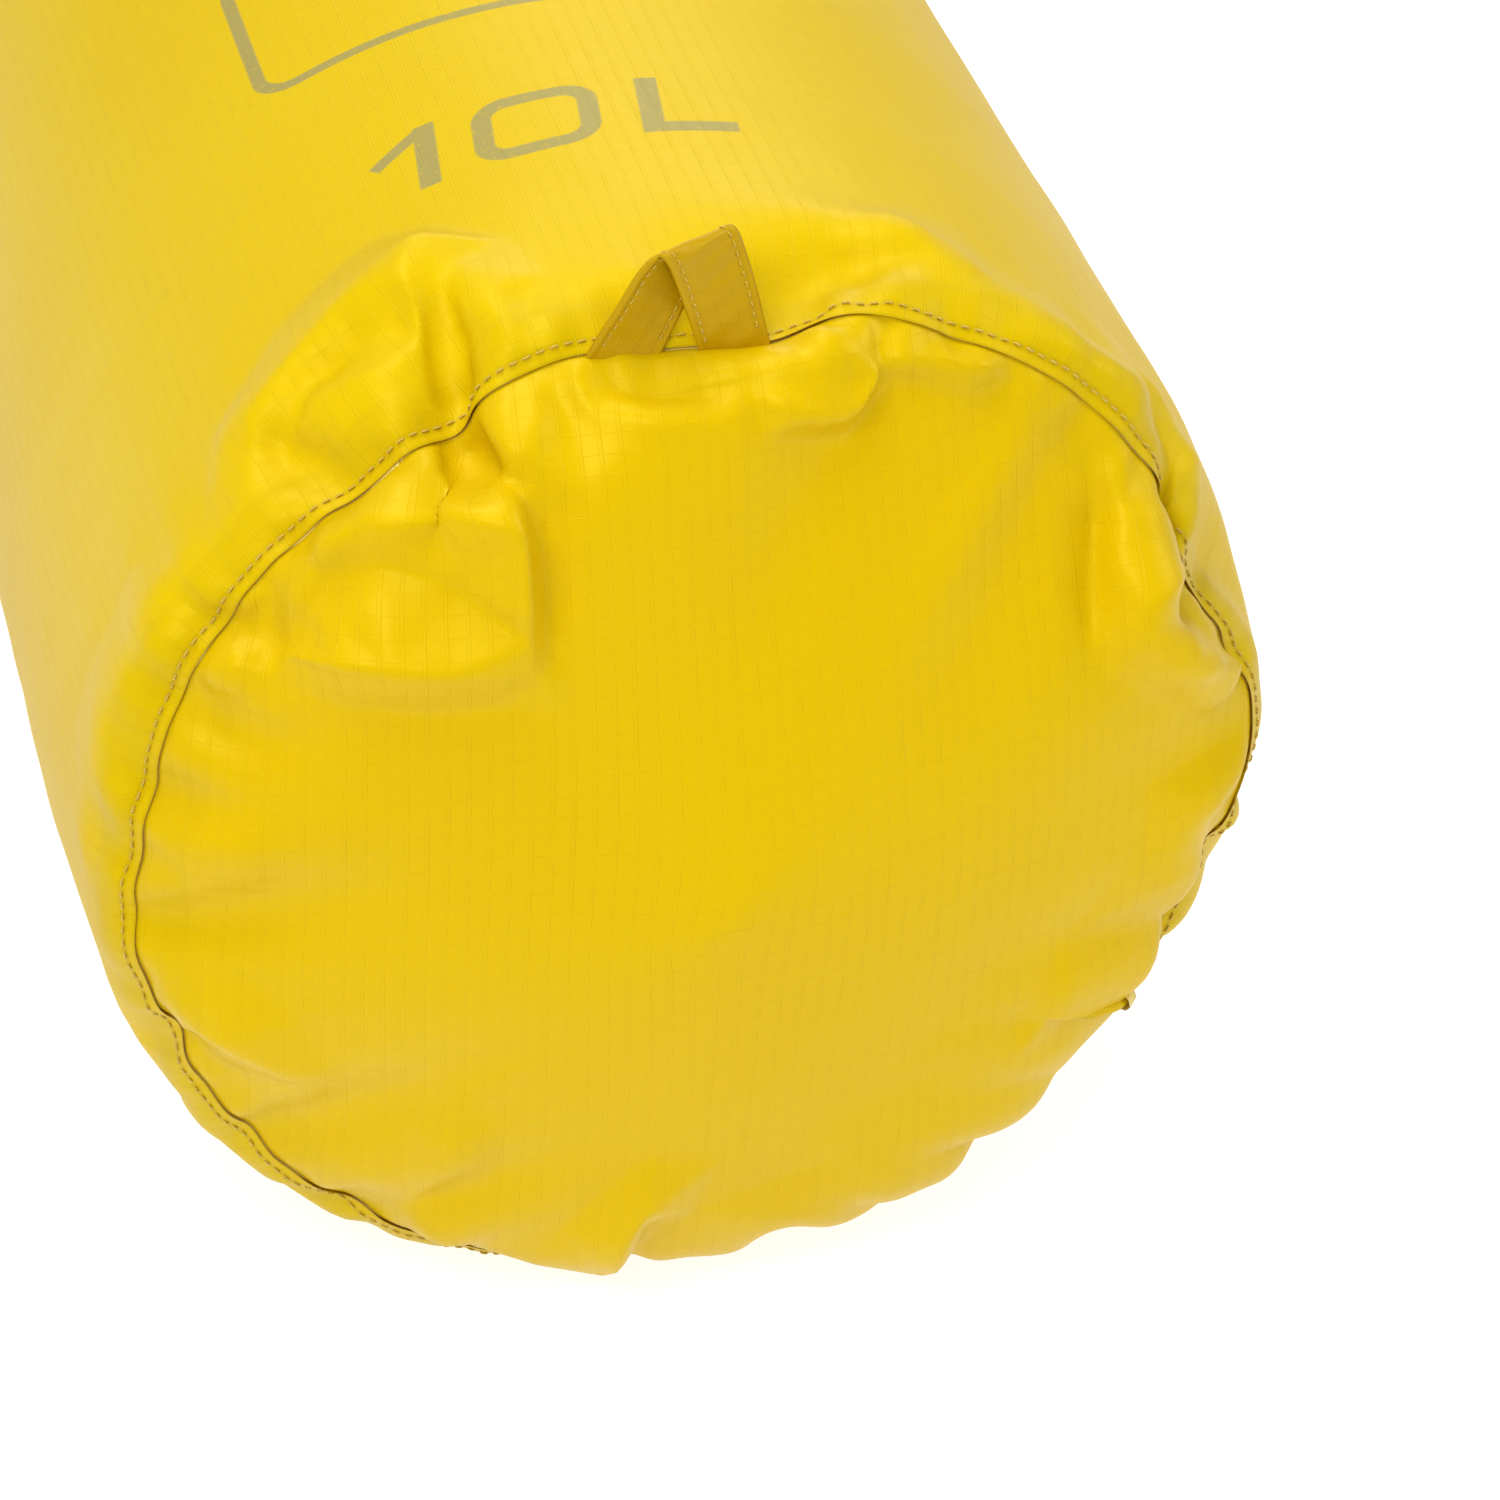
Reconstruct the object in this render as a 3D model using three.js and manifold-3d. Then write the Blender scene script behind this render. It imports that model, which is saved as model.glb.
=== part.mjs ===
// A roll-top stuff sack of coated ripstop nylon, lying on its side, rolled and buckled shut.
// Units are millimetres. +X is across the sack, +Y runs from the round base to the mouth, +Z is up.
// The origin is at the middle of the length and the width, on the surface the sack lies on.
import * as THREE from "three";
import { mergeVertices } from "three/addons/utils/BufferGeometryUtils.js";
import Module from "manifold-3d";

const wasm = await Module();
wasm.setup();

// ---- driving dimensions ----
const LENGTH = 400; // overall, from the crown of the base to the outer edge of the roll
const TUBE_R = 98; // radius of the filled tube
const SEAM_R = 92; // radius of the base seam ring
const AXIS_Z = 91.5; // height of the tube's axis: the underside is pressed flat on the ground
const WALL = 1.2; // fabric thickness used for the solids
const GAP = 0.3; // clearance between pieces that touch
const DOME_Y = -LENGTH / 2; // crown of the base
const SEAM_Y = -174; // plane of the base seam
const FULL_Y = -148; // from here on the tube has its full radius
const NECK_Y = 115; // where the fabric starts to gather
const ROLL_Y0 = 172; // inner edge of the rolled mouth
const ROLL_Y1 = LENGTH / 2; // outer edge of the rolled mouth
const ROLL_THICK = 7; // thickness of the rolled mouth
const RING_A = 66; // half width of the ring the roll is bent into
const RING_B = 56; // half height of that ring
const TIP_X = 39; // the roll's two ends stop here, left and right of the buckle
const SEGMENTS = 48; // facets around the sack
const TAPE = 0.5; // thickness of the seam tapes
const THREAD_R = 0.3; // radius of a topstitch row
const TOPSTITCH_FROM_SEAM = 2.2;
const LOOP_STRAP_W = 12.8; // run of the haul loop's foot along the seam
const LOOP_HEIGHT = 18; // from the feet to the crown
const LOOP_THICK = 1.0;
const WEBBING_W = 15; // buckle webbing
const WEBBING_T = 1.2;
const BUCKLE_W = 24; // side-release buckle, across the webbing
const BUCKLE_T = 8.4;
const BUCKLE_Z = AXIS_Z + 55; // middle of the buckle's thickness
const BUCKLE_Y = (ROLL_Y0 + ROLL_Y1) / 2;

// ---- materials ----
const paint = (color, roughness, metalness = 0) =>
  new THREE.MeshStandardMaterial({ color, roughness, metalness, side: THREE.DoubleSide });
const FABRIC = () => paint(0xe6c400, 0.42);
const TAPE_MAT = () => paint(0xeadb8a, 0.5);
const THREAD = () => paint(0xd2b21a, 0.7);
const WEBBING = () => paint(0x2a2b2c, 0.8);
const PLASTIC = () => paint(0x1c1d1f, 0.45);
const STIFFENER = () => paint(0xd9d9d2, 0.5);

const sack = new THREE.Group();
sack.name = "stuff_sack";

// ---- helpers ----
// Keeps the positions only, merges shared vertices and turns the faces outwards.
function closed(geometry) {
  const g = geometry.index ? geometry.toNonIndexed() : geometry.clone();
  const bare = new THREE.BufferGeometry();
  bare.setAttribute("position", g.getAttribute("position").clone());
  const m = mergeVertices(bare, 1e-3);
  const p = m.attributes.position,
    keep = [];
  const idx = m.index.array;
  for (let i = 0; i < idx.length; i += 3)
    if (idx[i] !== idx[i + 1] && idx[i + 1] !== idx[i + 2] && idx[i] !== idx[i + 2])
      keep.push(idx[i], idx[i + 1], idx[i + 2]);
  let volume = 0;
  const a = new THREE.Vector3(),
    b = new THREE.Vector3(),
    c = new THREE.Vector3();
  for (let i = 0; i < keep.length; i += 3) {
    a.fromBufferAttribute(p, keep[i]);
    b.fromBufferAttribute(p, keep[i + 1]);
    c.fromBufferAttribute(p, keep[i + 2]);
    volume += a.dot(b.cross(c)) / 6;
  }
  if (volume < 0)
    for (let i = 0; i < keep.length; i += 3) [keep[i + 1], keep[i + 2]] = [keep[i + 2], keep[i + 1]];
  m.setIndex(keep);
  m.computeVertexNormals();
  return m;
}

// Moves every vertex of a geometry with fn(vector).
function reshape(geometry, fn) {
  const p = geometry.attributes.position,
    v = new THREE.Vector3();
  for (let i = 0; i < p.count; i++) {
    v.fromBufferAttribute(p, i);
    fn(v);
    p.setXYZ(i, v.x, v.y, v.z);
  }
  return geometry;
}

function add(name, geometry, material, parent = sack) {
  const mesh = new THREE.Mesh(closed(geometry), material);
  mesh.name = name;
  parent.add(mesh);
  return mesh;
}

const lerp = (a, b, t) => a + (b - a) * t;
const smooth = (t) => t * t * (3 - 2 * t);
const clamp01 = (t) => Math.min(1, Math.max(0, t));

// Outer radius of the tube at a station along the sack.
function tubeR(y) {
  const t = clamp01((y - SEAM_Y) / (FULL_Y - SEAM_Y));
  return SEAM_R + (TUBE_R - SEAM_R) * Math.sin((t * Math.PI) / 2);
}
// Distance from the axis down to the flattened underside.
function floorAt(y) {
  return lerp(AXIS_Z - 1.8, AXIS_Z, smooth(clamp01((y - SEAM_Y) / 20)));
}
// Presses the underside flat. Every layer at one angle moves by the same amount, so walls keep
// their thickness. ref is the radius of the outermost layer, lift its allowance over the floor.
function press(v, ref, floor) {
  const r = Math.hypot(v.x, v.z) || 1e-9;
  const down = (-v.z / r) * ref;
  if (down > floor) v.z += down - floor;
}
// A closed ring of revolution about the sack's axis from a closed (radius, y) profile.
function ring(profile, segments = SEGMENTS) {
  const pts = profile.map(([r, y]) => new THREE.Vector2(r, y));
  pts.push(pts[0].clone());
  return new THREE.LatheGeometry(pts, segments);
}
const raise = (g, dz = AXIS_Z) => g.translate(0, 0, dz);

// ---- the filled tube ----
{
  const ys = [SEAM_Y + GAP];
  for (const t of [0.16, 0.34, 0.55, 0.78, 1]) ys.push(lerp(SEAM_Y, FULL_Y, t));
  for (let y = -80; y < NECK_Y; y += 70) ys.push(y);
  ys.push(NECK_Y);
  const outer = ys.map((y) => [tubeR(y), y]);
  const inner = ys.map((y) => [tubeR(y) - WALL, y]).reverse();
  add(
    "body_tube",
    raise(reshape(ring([...outer, ...inner]), (v) => press(v, tubeR(v.y), floorAt(v.y)))),
    FABRIC(),
  );
}

// ---- the domed base panel ----
const domeY = (r) =>
  SEAM_Y - GAP - (SEAM_Y - GAP - DOME_Y) * Math.pow(Math.max(0, 1 - (r / SEAM_R) ** 2), 0.62);
{
  const rs = [SEAM_R, 90.6, 87, 81, 71, 56, 36, 16, 0];
  const outer = rs.map((r) => new THREE.Vector2(r, domeY(r)));
  const inner = rs
    .map((r) => {
      const k = (SEAM_R - WALL) / SEAM_R;
      return new THREE.Vector2(r * k, Math.min(SEAM_Y - GAP, SEAM_Y - GAP - (SEAM_Y - GAP - domeY(r)) * ((SEAM_Y - GAP - DOME_Y - WALL) / (SEAM_Y - GAP - DOME_Y))));
    })
    .reverse();
  const g = new THREE.LatheGeometry([...outer, ...inner, outer[0].clone()], SEGMENTS);
  add("bottom_panel", raise(reshape(g, (v) => press(v, SEAM_R, floorAt(SEAM_Y)))), FABRIC());
}

// ---- seam allowance and tape inside the base seam ----
const wallBand = (y0, y1, n, gap, thick) => {
  const out = [],
    inn = [];
  for (let i = 0; i <= n; i++) {
    const y = lerp(y0, y1, i / n),
      r = tubeR(y) - WALL - gap;
    out.push([r, y]);
    inn.unshift([r - thick, y]);
  }
  return [...out, ...inn];
};
add(
  "bottom_seam_allowance",
  raise(reshape(ring(wallBand(SEAM_Y + 0.8, SEAM_Y + 8.5, 3, 0.5, 1.0)), (v) => press(v, tubeR(v.y), floorAt(v.y)))),
  FABRIC(),
);
{
  // An angled band: one leg lies over the allowance on the tube, the other on the base panel.
  const legTube = [10, 6, 2.2].map((d) => [tubeR(SEAM_Y + d) - WALL - 0.5 - 1.0 - 0.5, SEAM_Y + d]);
  const k = (r) => r * ((SEAM_R - WALL) / SEAM_R);
  const legPanel = [83.5, 79, 74].map((r) => [k(r) - 1.2, domeY(r) + 2.6]);
  const corner = [[88.2, SEAM_Y + 0.2], [86.4, SEAM_Y - 1.8]];
  const outside = [...legTube, ...corner, ...legPanel];
  const inside = outside
    .map(([r, y], i) => {
      const a = outside[Math.max(0, i - 1)],
        b = outside[Math.min(outside.length - 1, i + 1)];
      const dr = b[0] - a[0],
        dy = b[1] - a[1],
        l = Math.hypot(dr, dy);
      return [r + (dy / l) * TAPE, y - (dr / l) * TAPE];
    })
    .reverse();
  add(
    "bottom_seam_tape",
    raise(reshape(ring([...outside, ...inside]), (v) => press(v, tubeR(Math.max(v.y, SEAM_Y)), floorAt(Math.max(v.y, SEAM_Y))))),
    TAPE_MAT(),
  );
}

// ---- topstitch row that holds the seam allowance down, a thread ring on the tube side ----
{
  const y0 = SEAM_Y + TOPSTITCH_FROM_SEAM,
    rc = tubeR(y0) + GAP + THREAD_R + 0.15;
  const profile = [];
  for (let i = 0; i < 6; i++) {
    const a = (i / 6) * Math.PI * 2;
    profile.push([rc + THREAD_R * Math.cos(a), y0 + THREAD_R * Math.sin(a)]);
  }
  add(
    "bottom_seam_topstitch",
    raise(reshape(ring(profile), (v) => press(v, rc + THREAD_R, floorAt(y0) + GAP + 2 * THREAD_R + 0.15))),
    THREAD(),
  );
}

// ---- lengthwise seam of the tube: tape inside, thread row outside, low on the left side ----
const SIDE_ANGLE = THREE.MathUtils.degToRad(212);
{
  const r0 = TUBE_R * Math.cos(Math.PI / SEGMENTS) - WALL - GAP;
  const half = 9.5 / r0;
  const shape = new THREE.Shape();
  const N = 4;
  for (let i = 0; i <= N; i++) {
    const a = SIDE_ANGLE - half + (2 * half * i) / N;
    const x = r0 * Math.cos(a),
      z = r0 * Math.sin(a);
    i ? shape.lineTo(x, z) : shape.moveTo(x, z);
  }
  for (let i = N; i >= 0; i--) {
    const a = SIDE_ANGLE - half + (2 * half * i) / N;
    shape.lineTo((r0 - TAPE) * Math.cos(a), (r0 - TAPE) * Math.sin(a));
  }
  const y0 = FULL_Y + 4,
    y1 = NECK_Y - 2;
  const g = new THREE.ExtrudeGeometry(shape, { depth: y1 - y0, bevelEnabled: false, steps: 1 });
  reshape(g, (v) => v.set(v.x, y0 + v.z, v.y));
  add("side_seam_tape", raise(g), TAPE_MAT());

  const thread = new THREE.CylinderGeometry(THREAD_R, THREAD_R, y1 - y0, 6, 1);
  const rt = TUBE_R + GAP + THREAD_R;
  thread.translate(rt * Math.cos(SIDE_ANGLE + 0.045), (y0 + y1) / 2, rt * Math.sin(SIDE_ANGLE + 0.045));
  add("side_seam_topstitch", raise(thread), THREAD());
}

// ---- the ring that the rolled mouth is bent into ----
const THETA_R = Math.acos(TIP_X / RING_A);
const THETA_L = -Math.PI - THETA_R;
// Point of the ring at p = 0 (right tip) ... 1 (left tip), moved out along its normal by off.
function ringPoint(p, off) {
  const th = lerp(THETA_R, THETA_L, p);
  const x = RING_A * Math.cos(th),
    z = RING_B * Math.sin(th);
  let nx = Math.cos(th) / RING_A,
    nz = Math.sin(th) / RING_B;
  const l = Math.hypot(nx, nz);
  return [x + (nx / l) * off, z + (nz / l) * off, nx / l, nz / l];
}

// ---- the gathered neck: a skin that passes from the round tube to the flat, bent roll ----
{
  const rows = 9,
    cols = SEGMENTS,
    half = 2.6;
  const y0 = NECK_Y + GAP,
    y1 = ROLL_Y0 - GAP;
  // Every station is a crescent: an outer arc from tip to tip under the axis, and an upper arc that
  // starts as the rest of the circle and sinks until it lies along the outer arc.
  const P = [];
  for (let i = 0; i <= rows; i++) {
    const t = i / rows,
      y = lerp(y0, y1, t),
      s = smooth(t);
    const ax = lerp(TUBE_R, RING_A + half, s),
      bz = lerp(TUBE_R, RING_B + half, s);
    const right = THETA_R * s - 0.012 * s,
      left = -Math.PI - right;
    const sink = smooth(clamp01(t * 1.02));
    const row = [];
    for (let j = 0; j < cols; j++) {
      const a = (j / cols) * 2 * Math.PI; // measured like the lathe: x = sin, z = cos
      const al = Math.atan2(Math.cos(a), Math.sin(a)); // polar angle from +X
      const p = clamp01(Math.abs(al) / Math.PI);
      const th = lerp(right, left, p);
      let x = ax * Math.cos(th),
        z = bz * Math.sin(th);
      if (al > 1e-6 && al < Math.PI - 1e-6) {
        const up = lerp(right, Math.PI - right, p);
        const ux = ax * Math.cos(up),
          uz = bz * Math.sin(up);
        const slot = 2 * half + 34 * (1 - s) * Math.sin(Math.PI * p);
        const edge = Math.min(1, Math.min(p, 1 - p) / 0.04);
        const nx = Math.cos(th) / ax,
          nz = Math.sin(th) / bz,
          l = Math.hypot(nx, nz);
        x = lerp(ux, x - (nx / l) * slot * edge, sink);
        z = lerp(uz, z - (nz / l) * slot * edge, sink);
      }
      row.push(new THREE.Vector3(x, y, Math.max(z, -AXIS_Z)));
    }
    P.push(row);
  }
  // The wall is set inwards along the surface normal; one sign holds for the whole skin.
  const probe = P[0][0].clone().setY(0);
  const du = P[0][1].clone().sub(P[0][cols - 1]),
    dv = P[1][0].clone().sub(P[0][0]);
  const sign = du.cross(dv).dot(probe) > 0 ? -1 : 1;
  const Q = P.map((row, i) =>
    row.map((v, j) => {
      const a = row[(j + 1) % cols].clone().sub(row[(j + cols - 1) % cols]);
      const b = P[Math.min(rows, i + 1)][j].clone().sub(P[Math.max(0, i - 1)][j]);
      const n = a.cross(b);
      if (i === 0 || i === rows) n.y = 0;
      n.normalize().multiplyScalar(sign * WALL);
      const w = v.clone().add(n);
      w.y = Math.min(y1, Math.max(y0, i === 0 ? y0 : i === rows ? y1 : w.y));
      if (v.z <= -AXIS_Z + 1e-6) w.z = v.z + WALL;
      return w;
    }),
  );
  const g = new THREE.LatheGeometry(
    [
      ...P.map((_, i) => new THREE.Vector2(2, i)),
      ...Q.map((_, i) => new THREE.Vector2(1, rows - i)),
      new THREE.Vector2(2, 0),
    ],
    cols,
  );
  // The lathe gives the closed ring topology; each of its vertices is carried to its place.
  reshape(g, (v) => {
    const j = Math.round(((Math.atan2(v.x, v.z) + 2 * Math.PI) / (2 * Math.PI)) * cols) % cols;
    const i = Math.round(v.y);
    v.copy(Math.hypot(v.x, v.z) > 1.5 ? P[i][j] : Q[i][j]);
  });
  add("neck", raise(g), FABRIC());
}

// ---- rolled mouth with its two stiffener strips ----
const roll = new THREE.Group();
roll.name = "roll_top";
sack.add(roll);
// Sweeps a (thickness, width) outline along the ring from p0 to p1.
function sweepRing(shape, p0, p1, steps, yMid) {
  const g = new THREE.ExtrudeGeometry(shape, { depth: 1, bevelEnabled: false, steps });
  return reshape(g, (v) => {
    const [x, z] = ringPoint(lerp(p0, p1, v.z), v.x);
    v.set(x, yMid + v.y, z);
  });
}
function obround(halfT, halfW, n) {
  const pts = [];
  for (let s = 0; s < 2; s++)
    for (let i = 0; i <= n; i++) {
      const a = (i / n) * Math.PI + (s ? Math.PI : 0);
      pts.push(new THREE.Vector2(Math.cos(a) * halfT, Math.sin(a) * halfT + (s ? -1 : 1) * (halfW - halfT)));
    }
  return pts;
}
{
  const hw = (ROLL_Y1 - ROLL_Y0) / 2,
    ht = ROLL_THICK / 2;
  const shape = new THREE.Shape(obround(ht, hw, 6));
  shape.holes.push(new THREE.Path(obround(ht - 1.25, hw - 1.25, 2)));
  add("rolled_mouth", raise(sweepRing(shape, 0, 1, 40, BUCKLE_Y)), FABRIC(), roll);
  for (const [name, c] of [["stiffener_inner", -0.95], ["stiffener_outer", 0.95]]) {
    const s = new THREE.Shape();
    s.moveTo(c - 0.6, -11).lineTo(c + 0.6, -11).lineTo(c + 0.6, 11).lineTo(c - 0.6, 11);
    add(name, raise(sweepRing(s, 0.015, 0.985, 40, BUCKLE_Y)), STIFFENER(), roll);
  }
}

// ---- buckle webbing: a folded tab at each end of the roll, looped round the buckle's bar ----
const SOCKET_BAR_X = 28.5,
  PLUG_BAR_X = -8.5,
  BAR_R = 1.3;
// A hairpin of webbing: out from the roll end, round the bar and back, as an extruded outline.
function hairpin(tip, tipZ, barX, side) {
  const barC = new THREE.Vector2(barX, 0),
    rIn = BAR_R + 0.45,
    rOut = rIn + WEBBING_T;
  const dir = side; // +1: roll end is to the right of the bar
  const end = new THREE.Vector2(tip, tipZ);
  const d = end.clone().sub(barC).normalize(),
    n = new THREE.Vector2(-d.y, d.x);
  const arc = (r, from, to, steps) => {
    const out = [];
    for (let i = 0; i <= steps; i++) {
      const a = lerp(from, to, i / steps);
      out.push(new THREE.Vector2(barC.x + r * Math.cos(a), barC.y + r * Math.sin(a)));
    }
    return out;
  };
  const base = Math.atan2(n.y, n.x);
  // from +n side, round the far side of the bar, to -n side
  const outer = arc(rOut, base, base + Math.PI, 8);
  const inner = arc(rIn, base + Math.PI, base, 8);
  const flat = WEBBING_T + 0.15; // the two plies lie nearly together at the roll end
  const pts = [
    end.clone().addScaledVector(n, flat),
    ...outer,
    end.clone().addScaledVector(n, -flat),
    end.clone().addScaledVector(n, -0.15),
    ...inner,
    end.clone().addScaledVector(n, 0.15),
  ];
  const g = new THREE.ExtrudeGeometry(new THREE.Shape(pts), { depth: WEBBING_W, bevelEnabled: false, steps: 1 });
  return reshape(g, (v) => v.set(v.x, BUCKLE_Y - WEBBING_W / 2 + v.z, v.y));
}
const tipZ = ringPoint(0, 0)[1] - (BUCKLE_Z - AXIS_Z); // roll end, seen from the buckle's middle
add("socket_tab", raise(hairpin(TIP_X - 0.4, tipZ + 1.2, SOCKET_BAR_X, 1), BUCKLE_Z), WEBBING(), roll);
add("plug_tab", raise(hairpin(-TIP_X + 0.4, tipZ + 1.2, PLUG_BAR_X, -1), BUCKLE_Z), WEBBING(), roll);


// A small bar of stitching across each tab, on its upper ply.
function bartack(name, tip, barX, t) {
  const end = new THREE.Vector2(tip, tipZ + 1.2),
    bar = new THREE.Vector2(barX, 0);
  const mid = bar.clone().lerp(end, t);
  const slope = Math.atan2(end.y - bar.y, end.x - bar.x);
  const ply = lerp(BAR_R + 0.45 + WEBBING_T, WEBBING_T + 0.15, t); // height of the ply over the middle line
  const mesh = add(name, new THREE.BoxGeometry(1.6, WEBBING_W - 3, 0.5), paint(0x3a3b3d, 0.7), roll);
  const up = Math.abs(slope) > Math.PI / 2 ? slope + Math.PI : slope;
  const lift = ply + GAP + 0.35;
  mesh.position.set(mid.x - Math.sin(up) * lift, BUCKLE_Y, BUCKLE_Z + mid.y + Math.cos(up) * lift);
  mesh.rotation.y = -up;
}
bartack("socket_tab_bartack", TIP_X - 0.4, SOCKET_BAR_X, 0.62);
bartack("plug_tab_bartack", -TIP_X + 0.4, PLUG_BAR_X, 0.8);

// ---- side-release buckle ----
function solid(geometry) {
  const g = closed(geometry);
  return new wasm.Manifold(
    new wasm.Mesh({
      numProp: 3,
      vertProperties: new Float32Array(g.attributes.position.array),
      triVerts: new Uint32Array(g.index.array),
    }),
  );
}
function geometryOf(made) {
  const m = made.getMesh(),
    g = new THREE.BufferGeometry();
  g.setAttribute("position", new THREE.BufferAttribute(new Float32Array(m.vertProperties), 3));
  g.setIndex(new THREE.BufferAttribute(new Uint32Array(m.triVerts), 1));
  return g;
}
const box = (x0, x1, y0, y1, z0, z1) =>
  new THREE.BoxGeometry(x1 - x0, y1 - y0, z1 - z0).translate((x0 + x1) / 2, (y0 + y1) / 2, (z0 + z1) / 2);
// An outline in the plane of the webbing, extruded through the thickness with chamfered rims.
function plate(points, thick, chamfer) {
  const g = new THREE.ExtrudeGeometry(new THREE.Shape(points.map(([x, y]) => new THREE.Vector2(x, y))), {
    depth: thick - 2 * chamfer,
    bevelEnabled: true,
    bevelThickness: chamfer,
    bevelSize: chamfer,
    bevelOffset: -chamfer,
    bevelSegments: 2,
    curveSegments: 4,
  });
  return g.translate(0, 0, -(thick - 2 * chamfer) / 2);
}
const barAlongY = (x, half) => new THREE.CylinderGeometry(BAR_R, BAR_R, 2 * half, 12).translate(x, 0, 0);
const toBuckle = (g) => g.translate(0, BUCKLE_Y, BUCKLE_Z);
const HW = BUCKLE_W / 2;
const SOCKET_X0 = 5,
  SOCKET_X1 = 25.2,
  CAVITY_Y = 9.4,
  CAVITY_Z = 2.6;
{
  const body = solid(
    plate(
      [
        [SOCKET_X0, -HW + 1.4], [SOCKET_X0 + 1.4, -HW], [9.5, -HW], [11.5, -HW + 1.1], [19.5, -HW + 1.1], [21.5, -HW], [23.8, -HW], [SOCKET_X1, -HW + 1.6],
        [SOCKET_X1, HW - 1.6], [23.8, HW], [21.5, HW], [19.5, HW - 1.1], [11.5, HW - 1.1], [9.5, HW], [SOCKET_X0 + 1.4, HW], [SOCKET_X0, HW - 1.4],
      ],
      BUCKLE_T,
      0.8,
    ),
  );
  const ears = [-1, 1].map((s) =>
    solid(plate([[22, s * 8], [30.4, s * 8], [30.4, s * 10.4], [29.4, s * 11.4], [22, s * 11.4]], 4.6, 0.5)),
  );
  let made = body;
  for (const e of ears) made = made.add(e);
  made = made.add(solid(barAlongY(SOCKET_BAR_X, 9)));
  made = made.subtract(solid(box(SOCKET_X0 - 2, 22.5, -CAVITY_Y, CAVITY_Y, -CAVITY_Z, CAVITY_Z)));
  made = made.subtract(solid(box(11.6, 20.4, -HW - 2, HW + 2, -CAVITY_Z + 0.2, CAVITY_Z - 0.2)));
  add("buckle_socket", toBuckle(geometryOf(made)), PLASTIC(), roll);
}
const plug = new THREE.Group();
plug.name = "buckle_plug_body";
roll.add(plug);
const PLUG_FACE_X = 4.4; // shoulder of the plug against the socket's mouth
{
  let made = solid(
    plate(
      [[-5, -HW + 2], [-4, -HW + 1], [2.6, -HW], [PLUG_FACE_X, -HW + 0.8], [PLUG_FACE_X, HW - 0.8], [2.6, HW], [-4, HW - 1], [-5, HW - 2]],
      BUCKLE_T - 0.8,
      0.8,
    ),
  );
  for (const s of [-1, 1])
    made = made.add(solid(plate([[-3, s * 8], [-10.4, s * 8], [-10.4, s * 10.2], [-9.4, s * 11], [-3, s * 11]], 4.6, 0.5)));
  made = made.add(solid(barAlongY(PLUG_BAR_X, 9)));
  made = made.add(solid(plate([[2, -2.4], [18.6, -2.2], [20, -1.2], [20, 1.2], [18.6, 2.2], [2, 2.4]], 3.4, 0.3)));
  add("buckle_plug", toBuckle(geometryOf(made)), PLASTIC(), plug);
}
// The two spring arms, with the heads that show in the socket's side windows.
for (const [name, s] of [["plug_arm_front", -1], ["plug_arm_back", 1]]) {
  const outline = [
    [PLUG_FACE_X + GAP, 5.9], [11.8, 5.3], [18.4, 5.6], [19.6, 6.6], [19.8, 8.2], [17.6, 10.6], [13.2, 11.4], [12.4, 10.9], [12.3, 8.3], [PLUG_FACE_X + GAP, 8.3],
  ].map(([x, y]) => [x, s * y]);
  add(name, toBuckle(plate(outline, 3.4, 0.35)), PLASTIC(), plug);
}

// ---- haul loop: a folded strap sewn into the top of the base seam, with a skewed crown ----
const loop = new THREE.Group();
loop.name = "haul_loop_body";
sack.add(loop);
const FOOT_R = SEAM_R + GAP + 0.1; // the feet stand just outside the seam
const footZ = (x) => Math.sqrt(FOOT_R * FOOT_R - x * x) + AXIS_Z;
// Middle surface of the strap: t runs foot to foot over the crown, u across its width.
function strap(t, u, target = new THREE.Vector3()) {
  const k = 2 * t - 1,
    e = 0.24;
  const h = (1 - Math.sqrt(k * k + e * e) + (Math.sqrt(1 + e * e) - 1)) / (Math.sqrt(1 + e * e) - e); // 0 at the feet, 1 at the crown
  const front = lerp(-16.5, 2.2, t) - 0.4 * h,
    back = lerp(-16.5 + LOOP_STRAP_W, 15.3, t) + 0.6 * h;
  const x = lerp(front, back, u);
  const zFoot = footZ(x);
  const top = AXIS_Z + FOOT_R + LOOP_HEIGHT - 3;
  return target.set(x, SEAM_Y + lerp(-4.2, 4.2, u) * h, lerp(zFoot, top, h));
}
function strapPoint(t, u, w) {
  const d = 1e-3,
    a = strap(Math.min(1, t + d), u).sub(strap(Math.max(0, t - d), u)),
    b = strap(t, Math.min(1, u + d)).sub(strap(t, Math.max(0, u - d)));
  const n = a.cross(b).normalize();
  const p = strap(t, u);
  p.addScaledVector(n, w);
  return p;
}
function strapSolid(t0, t1, steps, u0, u1, us, w0, w1) {
  const pts = [];
  for (let i = 0; i <= us; i++) pts.push(new THREE.Vector2(lerp(u0, u1, i / us), w0));
  for (let i = us; i >= 0; i--) pts.push(new THREE.Vector2(lerp(u0, u1, i / us), w1));
  const g = new THREE.ExtrudeGeometry(new THREE.Shape(pts), { depth: 1, bevelEnabled: false, steps });
  return reshape(g, (v) => v.copy(strapPoint(lerp(t0, t1, v.z), v.x, v.y)));
}
add("haul_loop_strap", strapSolid(0, 1, 24, 0, 1, 3, -LOOP_THICK / 2, LOOP_THICK / 2), FABRIC(), loop);
const lift = LOOP_THICK / 2 + GAP;
add("haul_loop_stitch_front", strapSolid(0.06, 0.94, 24, 0.12, 0.165, 1, lift, lift + 0.35), THREAD(), loop);
add("haul_loop_stitch_back", strapSolid(0.06, 0.94, 24, 0.835, 0.88, 1, lift, lift + 0.35), THREAD(), loop);

export default sack;
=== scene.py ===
import math
from math import pi

import bpy
import numpy as np
from mathutils import Matrix, Vector


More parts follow.
